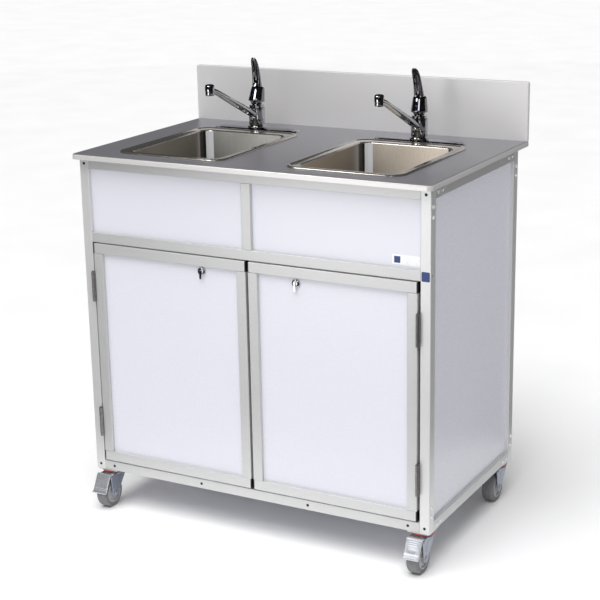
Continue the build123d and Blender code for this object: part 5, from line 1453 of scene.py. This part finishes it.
def make_supply_hoses():
    """Braided hoses with crimped collars at both ends."""
    shape = Shape()
    lines = [spaced(centre_line(route), SUPPLY_STEP) for route in supply_routes()]
    for line in lines:
        shape.sweep(line, lambda i: hose_ring(BRAID_R))
    shape.paint = 1
    radii = [COLLAR_R] * COLLAR_RINGS
    radii[0] = radii[-1] = SUPPLY_R - 0.4
    radii[3] = radii[5] = COLLAR_R - 0.7
    for line in lines:
        for stretch in (line[:COLLAR_RINGS], line[-COLLAR_RINGS:]):
            shape.sweep(stretch, lambda i: hose_ring(radii[i]))
    materials = ["braided_hose", "zinc"]
    piece = shape.finish("supply_hose_set", "cabinet", materials, ["supply_hoses"])
    wrap_braid(piece, [len(line) for line in lines])


def drain_radius(i, last):
    """A drain hose's radius at a ring: a cuff near the ends, ribs between them."""
    if min(i, last - i) < CUFF_RINGS:
        return CUFF_R
    return DRAIN_HOSE_R - RIB_DEPTHS[i % len(RIB_DEPTHS)]


def make_drain_hoses():
    """Corrugated hoses with plain cuffs and a worm-drive clamp at each end."""
    shape = Shape()
    lines = [spaced(centre_line(route), DRAIN_STEP) for route in drain_routes()]
    for line in lines:
        shape.sweep(line, lambda i: hose_ring(drain_radius(i, len(line) - 1)))
    shape.paint = 1
    first, past = CLAMP_RINGS
    band_radii = [CUFF_R, *[CLAMP_R] * (past - first - 2), CUFF_R]
    for line in lines:
        for stretch in (line[first:past], line[-past:-first]):
            shape.sweep(stretch, lambda i: hose_ring(band_radii[i]))
            screw = axes_at(stretch[2] + Vector((0, -CLAMP_R, 0)), (1, 0, 0))
            shape.lathe(CLAMP_SCREW, screw, 20)
    materials = ["drain_hose", "zinc"]
    shape.finish("drain_hose_set", "cabinet", materials, ["drain_hoses"])


# ---------------------------------------------------------------- power inlet
SOCKET_X = 330
SOCKET_Z = 190
SOCKET_FLOOR = 17
PIN_HALF = (1, 2)
PIN_LENGTH = 14
PIN_OFFSETS = ((-7, -2), (0, 2), (7, -2))


def make_inlet_pins():
    """Three blades on the floor of the power inlet's socket."""
    floor = box("power_inlet")[1].y - SOCKET_FLOOR
    half_x, half_z = PIN_HALF
    outline = [(-half_x, -half_z), (half_x, -half_z), (half_x, half_z), (-half_x, half_z)]
    shape = Shape()
    for x, z in PIN_OFFSETS:
        place = axes_at((SOCKET_X + x, floor, SOCKET_Z + z), (0, 1, 0))
        shape.slab(outline, PIN_LENGTH, place, 0.3)
    shape.finish("inlet_pins", "cabinet", ["zinc"])


# ---------------------------------------------------------------- the pieces
for side in SIDES:
    make_sink(side)
    make_faucet_body(side)
    make_spout(side)
    make_cartridge(side)
    make_handle(side)
    make_temperature_dot(side)
    make_pedal(side)
    make_lock_bezel(side)
    make_lock_core(side)
    for end in ENDS:
        make_wheel(f"{end}_{side}")
        make_fork(f"{end}_{side}")
make_side_screws()
make_labels()
make_tank("fresh")
make_tank("waste")
make_cap("fresh")
make_cap("waste")
make_supply_hoses()
make_drain_hoses()
make_inlet_pins()


# ---------------------------------------------------------------- floor, light and camera
CAMERA_PLACE = Vector((1.729, -3.1595, 1.568))
CAMERA_AZIMUTH = math.radians(28.78)
CAMERA_ELEVATION = math.radians(16.049)
CAMERA_ROLL = math.radians(-1.069)
CAMERA_LENS_MM = 90.55
SENSOR_MM = 36


def make_camera():
    """The camera, at the photograph's viewing angle."""
    data = bpy.data.cameras.new("camera")
    data.lens = CAMERA_LENS_MM
    data.sensor_width = SENSOR_MM
    camera = bpy.data.objects.new("camera", data)
    level = math.cos(CAMERA_ELEVATION)
    back_x = math.sin(CAMERA_AZIMUTH) * level
    back_y = -math.cos(CAMERA_AZIMUTH) * level
    back = Vector((back_x, back_y, math.sin(CAMERA_ELEVATION)))
    right = Vector((0, 0, 1)).cross(back).normalized()
    up = back.cross(right)
    rolled_right = right * math.cos(CAMERA_ROLL) + up * math.sin(CAMERA_ROLL)
    rolled_up = up * math.cos(CAMERA_ROLL) - right * math.sin(CAMERA_ROLL)
    axes = Matrix((rolled_right, rolled_up, back)).transposed().to_4x4()
    camera.matrix_world = Matrix.Translation(CAMERA_PLACE) @ axes
    bpy.context.scene.collection.objects.link(camera)
    bpy.context.scene.camera = camera


def area_light(name, place, target, size, power, sees=("diffuse", "glossy")):
    """A soft square light that faces the target, for diffuse light, for reflections or for both."""
    data = bpy.data.lights.new(name, "AREA")
    data.shape = "SQUARE"
    data.size = size
    data.energy = power
    light = bpy.data.objects.new(name, data)
    light.location = place
    light.rotation_euler = (Vector(target) - Vector(place)).to_track_quat("-Z", "Y").to_euler()
    light.visible_camera = False
    light.visible_diffuse = "diffuse" in sees
    light.visible_glossy = "glossy" in sees
    bpy.context.scene.collection.objects.link(light)


def stage_piece(name, points, faces, material):
    """A mesh of the stage, which is not part of the sink."""
    mesh = bpy.data.meshes.new(name)
    mesh.from_pydata(points, [], faces)
    mesh.materials.append(material)
    piece = bpy.data.objects.new(name, mesh)
    bpy.context.scene.collection.objects.link(piece)
    return piece


def arc_points(radius, height, steps=60):
    """Points of a circle around the sink, closed on its first point."""
    angles = [math.tau * step / steps for step in range(steps + 1)]
    return [(radius * math.sin(a), -radius * math.cos(a), height) for a in angles]


def flag(name, lower, upper):
    """A dark ribbon that only mirror-like surfaces see, for the black in the chrome."""
    dark, light = (0.012, 0.012, 0.014), (0.02, 0.02, 0.022)
    material = surface(name, dark, light, 0.0, (0.8, 0.9), 2, relief_scale=20)
    count = len(lower)
    faces = [(i, i + 1, count + i + 1, count + i) for i in range(count - 1)]
    card = stage_piece(name, lower + upper, faces, material)
    card.visible_camera = False
    card.visible_diffuse = False
    card.visible_shadow = False
    card.visible_transmission = False


FLOOR_HALF = 150.0
FLOOR_CORNERS = ((-1, -1), (1, -1), (1, 1), (-1, 1))
FLAG_HEIGHT = 0.002
FLOOR_FLAG_R = 0.85
DOME_R = 9.0
DOME_LEVELS = 6
SKY_STRENGTH = 0.25
SUN_DIRECTION = Vector((0.0, -0.39, 0.92))
SUN_STRENGTH = 3.05
SUN_SOFTNESS = math.radians(50)


def make_floor():
    """A white floor that is its own backdrop."""
    material = surface("stage_floor", (0.93, 0.93, 0.93), (0.95, 0.95, 0.95), 0.0, (0.6, 0.7), 3)
    corners = [(x * FLOOR_HALF, y * FLOOR_HALF, 0) for x, y in FLOOR_CORNERS]
    stage_piece("stage_floor", corners, [(0, 1, 2, 3)], material)


def make_flags():
    """Dark flags round and over the sink."""
    flag("floor_flag", arc_points(FLOOR_FLAG_R, FLAG_HEIGHT), arc_points(DOME_R, FLAG_HEIGHT))
    angles = [math.pi / 2 * level / DOME_LEVELS for level in range(DOME_LEVELS + 1)]
    rings = [arc_points(DOME_R * math.cos(a), DOME_R * math.sin(a)) for a in angles]
    for level in range(DOME_LEVELS):
        flag(f"dome_flag_{level}", rings[level], rings[level + 1])


def make_lights():
    """A dim sky, a soft sun and three soft lights."""
    world = bpy.data.worlds.new("dim_sky")
    world.use_nodes = True
    sky = world.node_tree.nodes["Background"]
    sky.inputs["Color"].default_value = (1.0, 1.0, 1.0, 1)
    sky.inputs["Strength"].default_value = SKY_STRENGTH
    bpy.context.scene.world = world
    data = bpy.data.lights.new("sun", "SUN")
    data.energy = SUN_STRENGTH
    data.angle = SUN_SOFTNESS
    sun = bpy.data.objects.new("sun", data)
    sun.rotation_euler = SUN_DIRECTION.to_track_quat("Z", "Y").to_euler()
    sun.visible_glossy = False
    bpy.context.scene.collection.objects.link(sun)
    area_light("key", (1.0, -2.6, 2.0), (0.2, -0.1, 0.6), 0.9, 7)
    area_light("low_reflection", (-0.6, -2.2, 0.5), (0, -0.26, 0.5), 1.0, 8, ("glossy",))
    area_light("bowl_reflection", (-0.35, -0.9, 1.6), (0.229, 0.1, 0.86), 0.5, 5, ("glossy",))


bpy.context.scene.view_settings.view_transform = "Standard"
make_camera()
make_floor()
make_flags()
make_lights()
